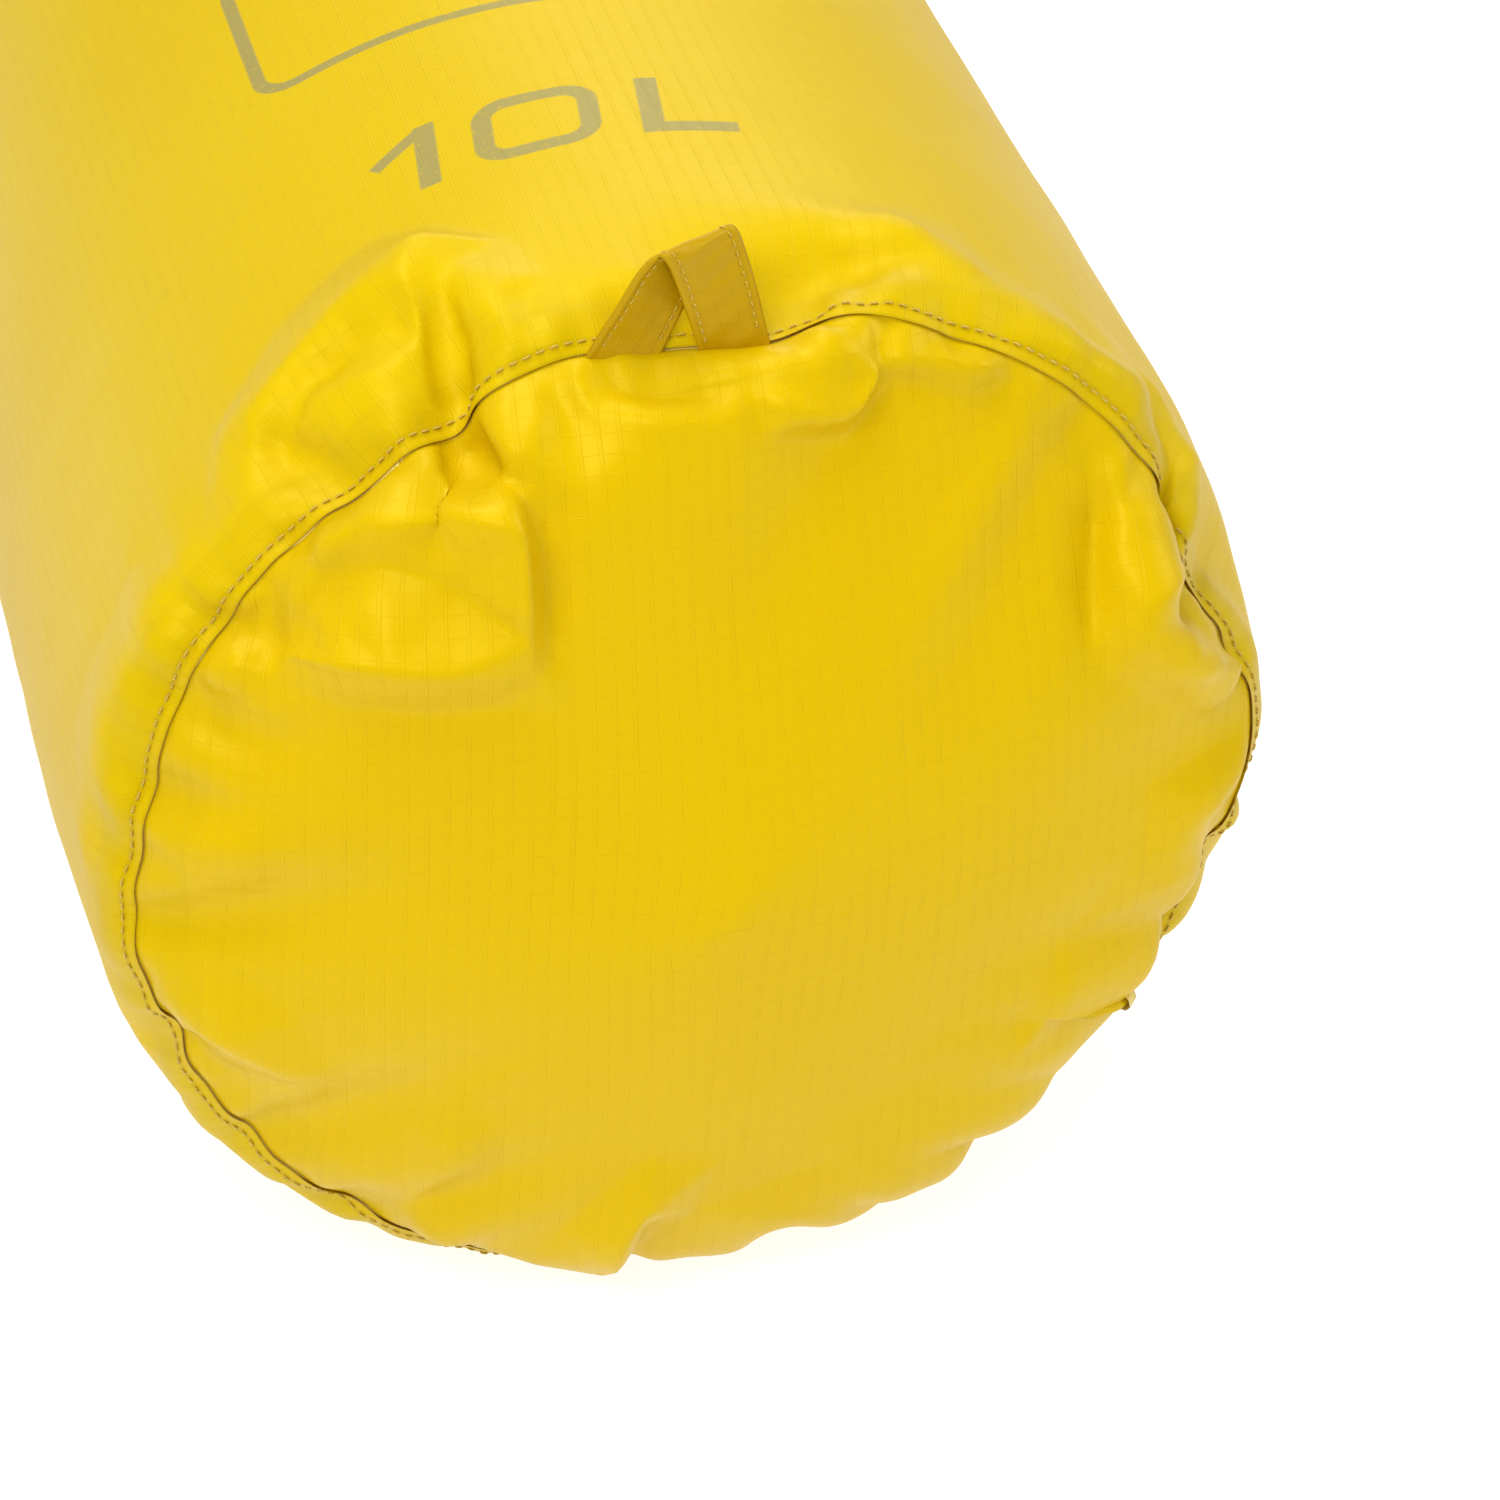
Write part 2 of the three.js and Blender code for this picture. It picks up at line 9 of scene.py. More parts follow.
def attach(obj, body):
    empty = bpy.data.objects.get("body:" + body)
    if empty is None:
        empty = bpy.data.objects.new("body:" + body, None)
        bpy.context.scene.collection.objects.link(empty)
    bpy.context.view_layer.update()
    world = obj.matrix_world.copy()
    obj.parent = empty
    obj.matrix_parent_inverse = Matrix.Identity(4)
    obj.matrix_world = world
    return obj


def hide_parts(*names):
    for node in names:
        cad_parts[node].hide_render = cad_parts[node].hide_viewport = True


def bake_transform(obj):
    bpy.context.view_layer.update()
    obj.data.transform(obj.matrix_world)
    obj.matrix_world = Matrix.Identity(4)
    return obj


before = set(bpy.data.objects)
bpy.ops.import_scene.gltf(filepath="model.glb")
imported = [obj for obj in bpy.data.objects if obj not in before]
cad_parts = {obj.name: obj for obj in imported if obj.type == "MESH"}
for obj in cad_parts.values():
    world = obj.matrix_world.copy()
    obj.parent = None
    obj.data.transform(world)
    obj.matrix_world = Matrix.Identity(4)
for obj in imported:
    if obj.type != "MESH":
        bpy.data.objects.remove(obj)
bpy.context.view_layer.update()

# ------------------------------------------------------------------ dimensions, in millimetres, as in the solids
R0 = 98.0          # radius of the filled tube
RD = 96.2          # flat radius of the round base panel inside its seam
AX = 91.5          # height of the sack's axis
SEAM_Y, END_Y = -174.0, 115.0
ROLL_Y0, ROLL_Y1 = 172.0, 200.0
RING_A, RING_B, TIP_X = 66.0, 56.0, 39.0
BUCKLE_Y, BUCKLE_Z = 186.0, AX + 55.0
SOCKET_BAR_X, PLUG_BAR_X, BAR_R = 28.5, -8.5, 1.3
WEB_W, WEB_T = 15.0, 1.2
THETA_R = math.acos(TIP_X / RING_A)
THETA_L = -pi - THETA_R
TUBE_LEN = 291.5   # from the base seam to where the neck starts, along the fabric
RIP = 3.3          # ripstop grid
STITCH = 2.35      # topstitch pitch
DEG = pi / 180
KINK = .62


# ------------------------------------------------------------------ the filled sack, as a position-based fabric simulation
DISC_PUSH = .62
LOW_PUSH = 1.3
# ---- seam ring: radius factor round the clock (angle from +X through +Z), then kinks (angle, half width, inward mm, towards the mouth mm) ----
RING_KEYS = [(-180, .985), (-177, .998), (-170, 1.016), (-164.5, .995), (-159, .992), (-152, 1.000), (-141, 1.004), (-135, 1.006), (-125, 1.0),
             (-116, .995), (-100, .978), (-84, .962), (-70, .958), (-57, .962), (-45, .975), (-30, .985), (-20, .990), (-8.5, 1.010), (0, 1.040),
             (6.1, 1.054), (8.7, 1.039), (12.3, 1.021), (17.8, .993), (23.7, .975), (28.8, .990), (33.6, 1.026), (36.2, 1.036), (40, 1.035),
             (46.2, 1.046), (52.4, 1.041), (56.0, 1.040), (59.1, 1.028), (62.2, 1.016), (65.8, 1.025), (68.3, 1.032), (71.6, 1.027), (74.2, 1.011),
             (76.0, .984), (77.7, .967), (80.7, .932), (89.5, .928), (93.3, .938), (100.9, .956), (103.4, .967), (106.4, .958), (109.7, .945),
             (113, .930), (118, .925), (123.7, .905), (130.9, .915), (137.9, .935), (144, .943), (152, .950), (158.5, .965), (166.4, .962),
             (170.6, .972), (177.2, .973)]
KINKS = [(116.5, 4.0, 6.0, 4.0), (30.0, 3.2, 4.0, 4.5), (170, 3, 1.5, 2.6), (-159.5, 3, 2, 2.6), (-103, 5, 1.2, 1.5), (-78, 4.5, 1.2, 1.2), (-29.5, 3.4, 2.4, 1.6),
         (-52, 3.6, 1.4, 1.2), (-128, 4, 1.5, 1.4), (149, 2.6, 1.0, 2.0), (137, 2.4, .8, 1.8), (93, 3, .4, 1.6), (79, 2.4, .6, 1.8), (62, 2.2, .8, 2.0), (46, 2.4, .6, 1.8),
         (12, 2.6, 1.4, 2.4), (-12, 3, 1.2, 1.6), (-143, 3, 1.2, 1.6), (-66, 3, .8, 1), (-175, 2.4, 1.0, 2.2), (129, 2.2, .6, 1.6), (159, 2.2, 1.0, 1.8)]


def sit_back(phi):
    """The sack stands on the edge of its base, so there the seam sits further back than the panel's bulge."""
    sn, cs = np.sin(phi), np.cos(phi)
    left = np.clip((-sn - .12) / .6, 0, 1)
    right = np.clip((-sn - .02) / .38, 0, 1)
    k = np.clip(.5 + cs * 1.2, 0, 1)
    return 6 * left * left * (3 - 2 * left) * (1 - k) + 9 * right * right * (3 - 2 * right) * k


def ring_curve(phi):
    k = np.array(RING_KEYS, float); a = k[:, 0] * DEG
    a = np.concatenate([a - 2 * pi, a, a + 2 * pi]); v = np.tile(k[:, 1], 3)
    # cubic-ish: linear interpolation, then a short smoothing
    fine = np.linspace(0, 2 * pi, 1440, endpoint=False)
    f = np.interp(np.where(fine > pi, fine - 2 * pi, fine), a, v)
    F = np.fft.rfft(f); m = np.arange(len(F)); F *= np.exp(-(m / 40.0) ** 2); f = np.fft.irfft(F, 1440)
    rho = 92 * f; yo = sit_back(fine)
    for c, w, dr, dy in KINKS:
        d = np.abs((fine - c * DEG + pi) % (2 * pi) - pi) / (w * DEG)
        s = np.clip(1 - d, 0, None); s = s * s * (3 - 2 * s) * .5 + s * .5
        out = np.exp(-((d - 1.5) / .6) ** 2)
        rho = rho - KINK * (dr * s - dr * .22 * out); yo = yo + KINK * (dy * s - dy * .30 * out)
    g = np.concatenate([fine - 2 * pi, fine, fine + 2 * pi])
    return np.interp(phi, g, np.tile(rho, 3)), np.interp(phi, g, np.tile(yo, 3))

def ring_points(N):
    fine = np.linspace(0, 2 * pi, 2881)
    rho, yo = ring_curve(fine)
    x = rho * np.cos(fine); z = rho * np.sin(fine)
    L = np.concatenate([[0], np.cumsum(np.sqrt(np.diff(x) ** 2 + np.diff(z) ** 2 + np.diff(yo) ** 2))])
    at = np.arange(N) / N * L[-1]
    ph = np.interp(at, L, fine)
    return ph, L[-1]

def layout(N, hd, ht_fine, fine_len, ht_far):
    nd = int(round(RD / hd)); rd = np.linspace(0, RD, nd + 1); rd[0] = .35
    L = TUBE_LEN
    t = [0.0]
    while t[-1] < L - .5 * ht_far:
        t.append(t[-1] + (ht_fine if t[-1] < fine_len else min(ht_far, ht_fine + (t[-1] - fine_len) * .04)))
    t = np.array(t); t *= L / t[-1]
    return rd, t

def start_shape(N, rd, t):
    phr, length = ring_points(N)
    circ = np.arange(N) / N * 2 * pi
    # line the circle's columns up with the ring's on average
    circ = circ + np.mean(np.unwrap(phr - circ))
    rho, yo = ring_curve(phr)
    slow = sit_back(phr); yo = yo - slow
    nd = len(rd) - 1
    P = np.zeros((nd + len(t), N, 3))
    for i, r in enumerate(rd):
        s = r / RD
        rr = np.sin(s * .61) / np.sin(.61)
        y = SEAM_Y - 27.5 * (np.cos(s * .61) - np.cos(.61)) / (1 - np.cos(.61))
        k = s ** 5
        ph = circ + (phr - circ) * k
        rad = rr * (92 * (1 - k) + rho * k)
        P[i, :, 0] = rad * np.cos(ph); P[i, :, 2] = rad * np.sin(ph) + AX; P[i, :, 1] = y + yo * k + slow * s ** 2
    for j, tt in enumerate(t):
        f = min(1, tt / 26.9)
        y = SEAM_Y + (26 * f if tt < 26.9 else 26 + (tt - 26.9) * (263 / (t[-1] - 26.9)))
        rad0 = 92 + 6 * np.sin(f * pi / 2)
        k = np.exp(-(tt / 20) ** 1.3)
        ph = circ + (phr - circ) * k
        rad = rad0 + (rho - 92) * k
        z = rad * np.sin(ph)
        P[nd + j, :, 0] = rad * np.cos(ph); P[nd + j, :, 2] = np.maximum(z, -AX + .05) + AX; P[nd + j, :, 1] = y + yo * k + slow * max(0, 1 - tt / 90)
    return P, length

def normals(P):
    du = np.roll(P, -1, 1) - np.roll(P, 1, 1)
    dv = np.empty_like(P); dv[1:-1] = P[2:] - P[:-2]; dv[0] = P[1] - P[0]; dv[-1] = P[-1] - P[-2]
    n = np.cross(du, dv)
    n /= np.linalg.norm(n, axis=2, keepdims=True) + 1e-9
    return n  # sign checked by the caller

def relax(P, rd, t, iters, push, guide, kb=(.05, .05), damp=.93, press_scale=None):
    rows, N, _ = P.shape; nd = len(rd) - 1
    dth = 2 * pi / N
    rr = np.concatenate([rd[:-1], np.full(len(t), R0)])
    hoop = rr * dth; hoop[nd] = R0 * dth
    mer = np.concatenate([np.diff(rd), np.diff(t)])
    hm = .5 * (hoop[1:] + hoop[:-1])
    diag = np.sqrt(mer ** 2 + hoop[1:] * hoop[:-1])
    fphi = np.linspace(0, 2 * pi, 721); frho, fyo = ring_curve(fphi)
    low = np.exp(-(np.arange(N // 2 + 1) / guide['modes']) ** 4)
    V = np.zeros_like(P)
    s_seam = np.abs(np.arange(rows) - nd)
    dist = np.concatenate([RD - rd, t[1:]])
    stiff = (kb[0] + (kb[1] - kb[0]) * np.exp(-(dist / 7.0) ** 2))[:, None, None]
    stiff_m = stiff.copy(); stiff_m[nd] = 0
    fadein = np.clip(rd / 14, 0, 1); w_h = np.ones(rows); w_h[:nd + 1] = fadein; w_h = w_h[:, None, None]
    sgn = None
    def solve(A, B, L, wa, wb, k=1.0, comp=1.0):
        d = B - A; l = np.sqrt((d * d).sum(-1, keepdims=True)) + 1e-9
        e = (l - L) / l
        if comp != 1.0: e = np.where(e < 0, e * comp, e)
        c = d * (e * k)
        return c * wa, c * wb
    w = np.ones((rows, 1, 1)); w[-1] = 0
    Lh = hoop[:, None, None]; 
    back = sit_back(np.unwrap(np.arctan2(P[nd, :, 2] - AX, P[nd, :, 0])))
    in_tube = ((np.arange(rows - 1) >= nd) & (np.concatenate([np.zeros(nd), t[1:]]) < 90))[:, None]
    Lm = (mer[:, None] * (1 - in_tube * back[None] / 90))[:, :, None]
    Ld = np.sqrt(Lm ** 2 + (hoop[1:] * hoop[:-1])[:, None, None])
    wsum = (w[1:] + w[:-1]); wa_m = w[:-1] / np.maximum(wsum, 1e-9); wb_m = w[1:] / np.maximum(wsum, 1e-9)
    first = P[-1].copy()
    for it in range(iters):
        f = it / max(1, iters - 1)
        n = normals(P)
        if sgn is None:
            c = n[nd // 2].mean(0); sgn = 1.0 if c[1] < 0 else -1.0
            # disc faces -Y; the tube's normals then face out as well
        pv = push(f) * sgn
        V = V * damp + n * pv if press_scale is None else V * damp + n * (pv * press_scale)
        V[-1] = 0
        old = P.copy()
        P = P + V
        # bending (before stretch, so lengths win)
        b = .5 * (np.roll(P, 1, 1) + np.roll(P, -1, 1)) - P
        arc = (hoop[:, None, None] ** 2) / (2 * np.maximum(rr, 6)[:, None, None])
        c = b * stiff * w_h
        P = P + .5 * c * w - .25 * (np.roll(c, 1, 1) + np.roll(c, -1, 1)) * w
        b = np.zeros_like(P); b[1:-1] = .5 * (P[2:] + P[:-2]) - P[1:-1]
        c = b * stiff_m; c[-1] = 0
        q = .5 * c
        q[1:] -= .25 * c[:-1]; q[:-1] -= .25 * c[1:]
        P = P + q * w
        # seam guide
        rad = np.hypot(P[nd, :, 0], P[nd, :, 2] - AX); ang = np.arctan2(P[nd, :, 2] - AX, P[nd, :, 0])
        g = guide['k'](f)
        if g > 0:
            am = np.mod(ang, 2 * pi)
            er = np.interp(am, fphi, frho) - rad; ey = SEAM_Y + np.interp(am, fphi, fyo) - P[nd, :, 1]
            er = np.fft.irfft(np.fft.rfft(er) * low, N) * g; ey = np.fft.irfft(np.fft.rfft(ey) * low, N) * g
            k = 1 + er / rad
            P[nd, :, 0] *= k; P[nd, :, 2] = AX + (P[nd, :, 2] - AX) * k; P[nd, :, 1] += ey
        # stretch: hoop even/odd, meridian even/odd, diagonals
        for o in (0, 1):
            A = P[:, o::2]; B = np.roll(P, -1, 1)[:, o::2]
            ca, cb = solve(A, B, Lh, .5, .5)
            ca *= w; cb *= w
            P[:, o::2] += ca
            idx = (np.arange(o, N, 2) + 1) % N
            P[:, idx] -= cb
        for o in (0, 1):
            ca, cb = solve(P[o:-1:2], P[o + 1::2], Lm[o::2], wa_m[o::2], wb_m[o::2])
            P[o:-1:2] += ca; P[o + 1::2] -= cb
        for sh in (1, -1):
            for o in (0, 1):
                B = np.roll(P, -sh, 1)
                ca, cb = solve(P[o:-1:2], B[o + 1::2], Ld[o::2], wa_m[o::2], wb_m[o::2], k=.35)
                P[o:-1:2] += ca; P[o + 1::2] -= np.roll(cb, sh, 1)
        P[:, :, 2] = np.maximum(P[:, :, 2], .35)
        P[-1] = first
        V = (P - old) * 1.0
        vm = np.sqrt((V * V).sum(-1, keepdims=True)); V *= np.minimum(1, .6 / np.maximum(vm, 1e-9))
    return P

def upsample(P, old, new, oldN, newN):
    # old/new: (rd, t)
    so = np.concatenate([old[0] - RD, old[1][1:]]); sn = np.concatenate([new[0] - RD, new[1][1:]])
    rowi = np.interp(sn, so, np.arange(len(so))); i0 = np.minimum(rowi.astype(int), len(so) - 2); fi = (rowi - i0)[:, None, None]
    Q = P[i0] * (1 - fi) + P[i0 + 1] * fi
    cj = np.arange(newN) * oldN / newN; j0 = cj.astype(int) % oldN; fj = (cj - cj.astype(int))[None, :, None]
    return Q[:, j0] * (1 - fj) + Q[:, (j0 + 1) % oldN] * fj

def run(its):
    rng = np.random.default_rng(11)
    levels = [(96, 6.5, 6.5, 80, 9.0), (192, 3.4, 3.4, 90, 6.5), (288, 2.2, 2.2, 80, 6.0)]
    prev = None; P = None
    for (N, hd, hf, fl, hfar), n_it in zip(levels, its):
        rd, t = layout(N, hd, hf, fl, hfar)
        S, length = start_shape(N, rd, t)
        if P is None:
            P = S + rng.normal(0, .12, S.shape); P[-1] = S[-1]
        else:
            P = upsample(P, prev[:2], (rd, t), prev[2], N)
            P = P + rng.normal(0, .02, P.shape); P[-1] = S[-1]
        sc = np.ones(P.shape[:2] + (1,))
        height = np.clip((S[:len(rd), :, 2:] - AX) / 92, -1, 1)
        sc[:len(rd)] = DISC_PUSH * np.maximum(.15, 1 - LOW_PUSH * height)
        P = relax(P, rd, t, n_it, push=lambda f, N=N: (.006 * (1 - f) ** 2 + .0007) * (96 / N) ** 1.5, guide=dict(k=lambda f: .3, modes=min(60, N * .3)), kb=(.03, .22), damp=.95, press_scale=sc)
        prev = (rd, t, N)
    return P, prev


# Crease lines as they lie in the flat cloth: (x, z, height) on the round panel and (round, along, height) on the tube, in mm.
PANEL_CREASES = [
    [(-34.6, 73.1, 1.4), (-33.6, 71.2, 2.6), (-33.2, 66.5, 3.2), (-32.0, 54.7, 2.8), (-32.0, 49.6, 2.0), (-30.3, 42.8, 0.8)],
    [(-32.1, 71.9, 0.4), (-29.4, 65.9, -0.6), (-28.5, 54.2, -0.7), (-28.6, 46.6, -0.2)],
    [(-27.4, 92.2, 0.3), (-28.5, 82.7, 1.0), (-28.8, 77.9, 0.7), (-28.9, 73.2, 0.2)],
    [(-70.8, 51.4, 0.1), (-66.4, 60.2, 1.3), (-62.3, 64.4, 2.3), (-56.6, 66.7, 2.7), (-48.0, 67.8, 2.7), (-38.2, 68.8, 2.8)],
    [(-67.9, 51.6, 0.0), (-64.4, 55.9, 0.1), (-59.3, 61.3, 0.1), (-55.1, 62.2, 0.2), (-49.6, 61.1, -0.2), (-43.0, 58.0, -0.3), (-38.9, 63.4, 0.9)],
    [(-71.1, 47.0, 0.5), (-69.3, 45.8, 1.5), (-60.9, 46.3, 2.5), (-52.8, 45.9, 2.9), (-44.1, 45.6, 2.7), (-35.8, 44.2, 1.8)],
    [(-43.8, 83.2, -1.2), (-36.4, 77.1, -1.3), (-33.0, 73.9, -0.2)],
    [(-49.7, 77.2, 1.0), (-56.3, 72.6, 1.5), (-62.4, 67.4, 1.3)],
    [(-33.0, 78.6, 0.6), (-30.0, 86.8, 0.2)],
    [(-22.5, 82.3, 0), (-21.2, 71.3, 0), (-21.7, 54.9, 0), (-24.3, 41.5, 0)],
    [(-26.0, 35.1, 0), (-36.5, 37.7, 0), (-48.8, 37.0, 0), (-61.0, 38.5, 0), (-70.3, 40.1, 0), (-76.7, 37.3, 0)],
    [(-84.6, 45.8, 0.6), (-78.8, 42.7, 1.4), (-74.1, 42.3, 0.5)],
    [(-79.1, 54.8, -0.4), (-75.5, 52.3, -0.9), (-73.0, 48.2, -0.4)],
    [(-86.2, 37.4, 0), (-78.9, 32.2, 0), (-86.2, 24.7, 0)],
    [(-20.8, 91.7, 0.2), (-16.0, 88.2, -1.2), (-10.0, 86.9, -1.7), (-0.4, 85.3, -1.5), (7.0, 85.0, -0.8)],
    [(-19.4, 85.3, 0.1), (-9.5, 82.5, 0.2), (1.4, 80.9, 0.1)],
    [(28.4, 85.0, 1.0), (27.7, 83.0, 2.3), (24.6, 79.4, 2.4), (20.5, 78.2, 2.3), (13.6, 79.7, 1.6), (10.4, 82.4, 0.8)],
    [(21.4, 89.3, 1.2), (18.5, 85.5, 0.8), (14.4, 84.0, 0.5)],
    [(31.3, 81.7, 0.2), (28.0, 78.2, 0), (22.6, 73.1, 0), (14.6, 75.1, 0), (7.9, 76.1, 0)],
    [(28.4, 85.0, 1.2), (33.9, 83.0, 1.5), (40.2, 82.6, 1.6), (48.4, 80.6, 1.2), (53.0, 80.3, 0.4)],
    [(34.8, 80.2, 0), (41.7, 76.9, 0), (50.6, 76.6, 0), (56.9, 74.9, 0)],
    [(66.2, 69.8, -0.3), (65.8, 60.9, -0.8), (65.7, 50.9, -1.3), (64.3, 41.4, -1.1), (62.6, 31.3, -0.2)],
    [(72.0, 63.8, 0.3), (69.1, 53.6, 0.7), (67.0, 45.3, 1.1), (65.8, 34.7, 0.8)],
    [(60.2, 69.3, 0), (57.8, 53.5, 0), (57.1, 40.4, 0), (58.5, 24.6, 0)],
    [(77.2, 49.7, 1.4), (80.3, 44.6, 2.2), (71.6, 37.7, 2.5), (71.2, 33.6, 2.3), (78.5, 27.1, 2.1), (92.1, 18.8, 1.4)],
    [(83.0, 39.2, -0.2), (82.6, 34.7, -0.5), (85.4, 27.4, -0.2)],
    [(65.1, 25.7, 0), (73.8, 20.2, 0), (84.5, 11.6, 0), (91.7, 4.5, 0)],
    [(53.1, -38.5, 0.3), (60.2, -39.8, 1.3), (72.1, -45.5, 1.9), (81.4, -51.3, 1.8), (81.4, -51.3, 1.0)],
    [(61.6, -49.0, -0.5), (74.9, -56.9, -0.9), (79.1, -54.8, -0.6)],
    [(46.7, -24.0, 0), (60.7, -24.8, 0), (80.2, -34.8, 0), (89.8, -34.4, 0)],
    [(50.8, -48.1, 0), (69.8, -66.2, 0)],
    [(94.0, 0.5, 0.6), (87.3, -5.3, 1.2), (85.9, -16.6, 1.0), (88.5, -31.7, 0.3)],
    [(74.3, 2.0, 0), (73.7, -9.3, 0)],
    [(-16.2, -94.8, 1.0), (-16.2, -83.7, 1.9), (-13.7, -70.8, 2.0), (-11.1, -64.7, 1.7), (-5.0, -61.0, 0.5)],
    [(-11.8, -93.3, -0.6), (-9.3, -73.7, -0.7), (-2.7, -69.9, -0.3)],
    [(-24.2, -72.6, 0), (-18.0, -63.1, 0), (-10.4, -53.7, 0), (1.5, -56.8, 0)],
    [(7.9, -84.9, 0.3), (15.3, -75.0, 1.0), (29.2, -84.7, 1.1), (38.1, -76.3, 0.4)],
    [(8.9, -65.0, 0), (18.7, -62.9, 0), (32.9, -59.3, 0)],
    [(-53.5, -77.3, 0.2), (-48.8, -67.2, 0.9), (-43.0, -49.5, 1.0), (-41.7, -38.6, 0.3)],
    [(-34.4, -63.4, 0), (-35.4, -44.5, 0), (-51.3, -47.5, 0), (-48.4, -29.7, 0)],
    [(-89.5, -20.3, 0.6), (-85.9, -25.5, 1.4), (-80.6, -27.8, 1.6), (-73.9, -33.0, 1.2), (-68.0, -39.7, 0.3)],
    [(-87.4, -34.5, -0.4), (-80.2, -40.1, -0.7), (-76.4, -46.9, -0.3)],
    [(-88.5, -14.1, 0), (-77.1, -15.7, 0), (-68.2, -23.5, 0), (-61.5, -37.7, 0), (-67.9, -55.1, 0)],
    [(-90.8, 13.5, 0.3), (-84.6, 10.7, 0.9), (-77.9, 11.6, 0.8), (-71.1, 12.2, 0.2)],
    [(-85.5, 18.5, 0), (-74.0, 19.4, 0), (-85.3, 1.4, 0), (-74.3, -0.4, 0)],
]
TUBE_CREASES = [
    [(192.9, 31.0, 3.4), (197.2, 24.4, 3.6), (201.5, 15.5, 2.8), (203.6, 8.9, 1.6), (201.5, 4.4, 0.5)],
    [(195.1, 31.0, 3.3), (199.3, 26.6, 3.2), (207.9, 28.8, 2.8), (216.4, 26.6, 2.6), (222.8, 24.4, 2.4), (229.3, 22.2, 2.2), (233.5, 17.7, 1.7), (237.8, 11.1, 0.8)],
    [(201.5, 19.9, 1.0), (207.9, 22.2, 0.4), (216.4, 22.2, 0.3), (220.7, 19.9, 0.4), (227.1, 17.7, 0.4), (231.4, 11.1, 0.2)],
    [(203.6, 13.3, 1.8), (207.9, 13.3, 1.9), (214.3, 15.5, 1.9), (218.6, 17.7, 1.6), (222.8, 15.5, 1.3), (227.1, 13.3, 0.6)],
    [(212.2, 8.9, 1.1), (210.0, 4.4, 0.8), (220.7, 8.9, 0.8)],
    [(190.8, 19.9, 0.6), (192.9, 13.3, -0.4), (195.1, 6.6, -0.8), (199.3, 4.4, -0.8)],
    [(190.8, 24.4, 1.2), (188.6, 15.5, 1.5), (184.4, 15.5, 1.6), (184.4, 8.9, 1.5), (184.4, 4.4, 0.9), (186.5, 0.0, 0.3)],
    [(180.1, 13.3, 0), (180.1, 6.6, 0), (175.8, 17.7, 0), (180.1, 31.0, 0)],
    [(190.8, 44.3, 0), (199.3, 48.8, 0), (207.9, 46.5, 0), (220.7, 42.1, 0), (229.3, 35.5, 0), (237.8, 28.8, 0), (244.2, 19.9, 0)],
    [(250.6, 8.9, 0.3), (257.1, 6.6, 1.1), (265.6, 6.6, 1.4), (274.2, 8.9, 1.4), (282.7, 11.1, 1.2), (293.4, 4.4, 0.9), (306.2, 4.4, 0.4)],
    [(261.3, 26.6, 0), (276.3, 26.6, 0), (293.4, 28.8, 0), (304.1, 15.5, 0)],
    [(272.0, 2.2, -0.2), (280.6, 2.2, -0.3)],
    [(96.7, 11.1, 0.4), (90.3, 4.4, 1.2), (83.9, 4.4, 1.4), (77.5, 6.6, 1.3), (64.6, 15.5, 1.0), (56.1, 17.7, 0.5)],
    [(101.0, 2.2, 0), (90.3, 0.0, -0.2), (77.5, 0.0, -0.3), (66.8, 2.2, -0.1)],
    [(86.0, 24.4, 0), (77.5, 17.7, 0), (60.4, 31.0, 0)],
    [(124.5, 26.6, 0.2), (120.2, 22.2, 1.0), (115.9, 19.9, 1.3), (111.7, 15.5, 1.1), (109.5, 8.9, 0.3)],
    [(122.4, 13.3, -0.2), (120.2, 4.4, -0.4)],
    [(124.5, 42.1, 0), (111.7, 39.9, 0), (101.0, 35.5, 0), (101.0, 15.5, 0), (130.9, 19.9, 0)],
    [(165.1, 22.2, 0), (169.4, 33.2, 0), (148.0, 31.0, 0), (137.3, 19.9, 0)],
    [(45.4, 31.0, 0.6), (53.9, 8.9, 2.0), (51.8, 4.4, 2.6), (49.7, 2.2, 1.6)],
]

# ------------------------------------------------------------------ mesh helpers
def link(me, name):
    o = bpy.data.objects.new(name, me)
    bpy.context.scene.collection.objects.link(o)
    return o


def mesh_from(name, verts, faces, smooth=True, uv=None, uvname="Weave"):
    """A mesh object from an (n, 3) array in millimetres and an (m, 3 or 4) array of faces. uv is per vertex, in millimetres."""
    me = bpy.data.meshes.new(name)
    faces = np.asarray(faces, np.int32)
    me.from_pydata((np.asarray(verts, float) / 1000).tolist(), [], faces.tolist())
    if uv is not None:
        layer = me.uv_layers.new(name=uvname)
        idx = np.zeros(len(me.loops), np.int32)
        me.loops.foreach_get("vertex_index", idx)
        layer.data.foreach_set("uv", (np.asarray(uv, float)[idx] / 100).astype(np.float32).ravel())
    if smooth:
        me.shade_smooth()
    me.update()
    return link(me, name)


def grid_faces(r, c, wrap=True, flip=False):
    i = np.arange(r - 1)[:, None] * c
    j = np.arange(c if wrap else c - 1)[None]
    jn = (j + 1) % c
    q = np.stack([i + j, i + jn, i + c + jn, i + c + j], -1).reshape(-1, 4)
    return q[:, ::-1] if flip else q


def join_parts(parts):
    """Several (verts, faces, uv) into one."""
    V, F, U, n = [], [], [], 0
    for v, f, u in parts:
        V.append(v); F.append(np.asarray(f) + n); U.append(u); n += len(v)
    return np.concatenate(V), np.concatenate(F), np.concatenate(U)


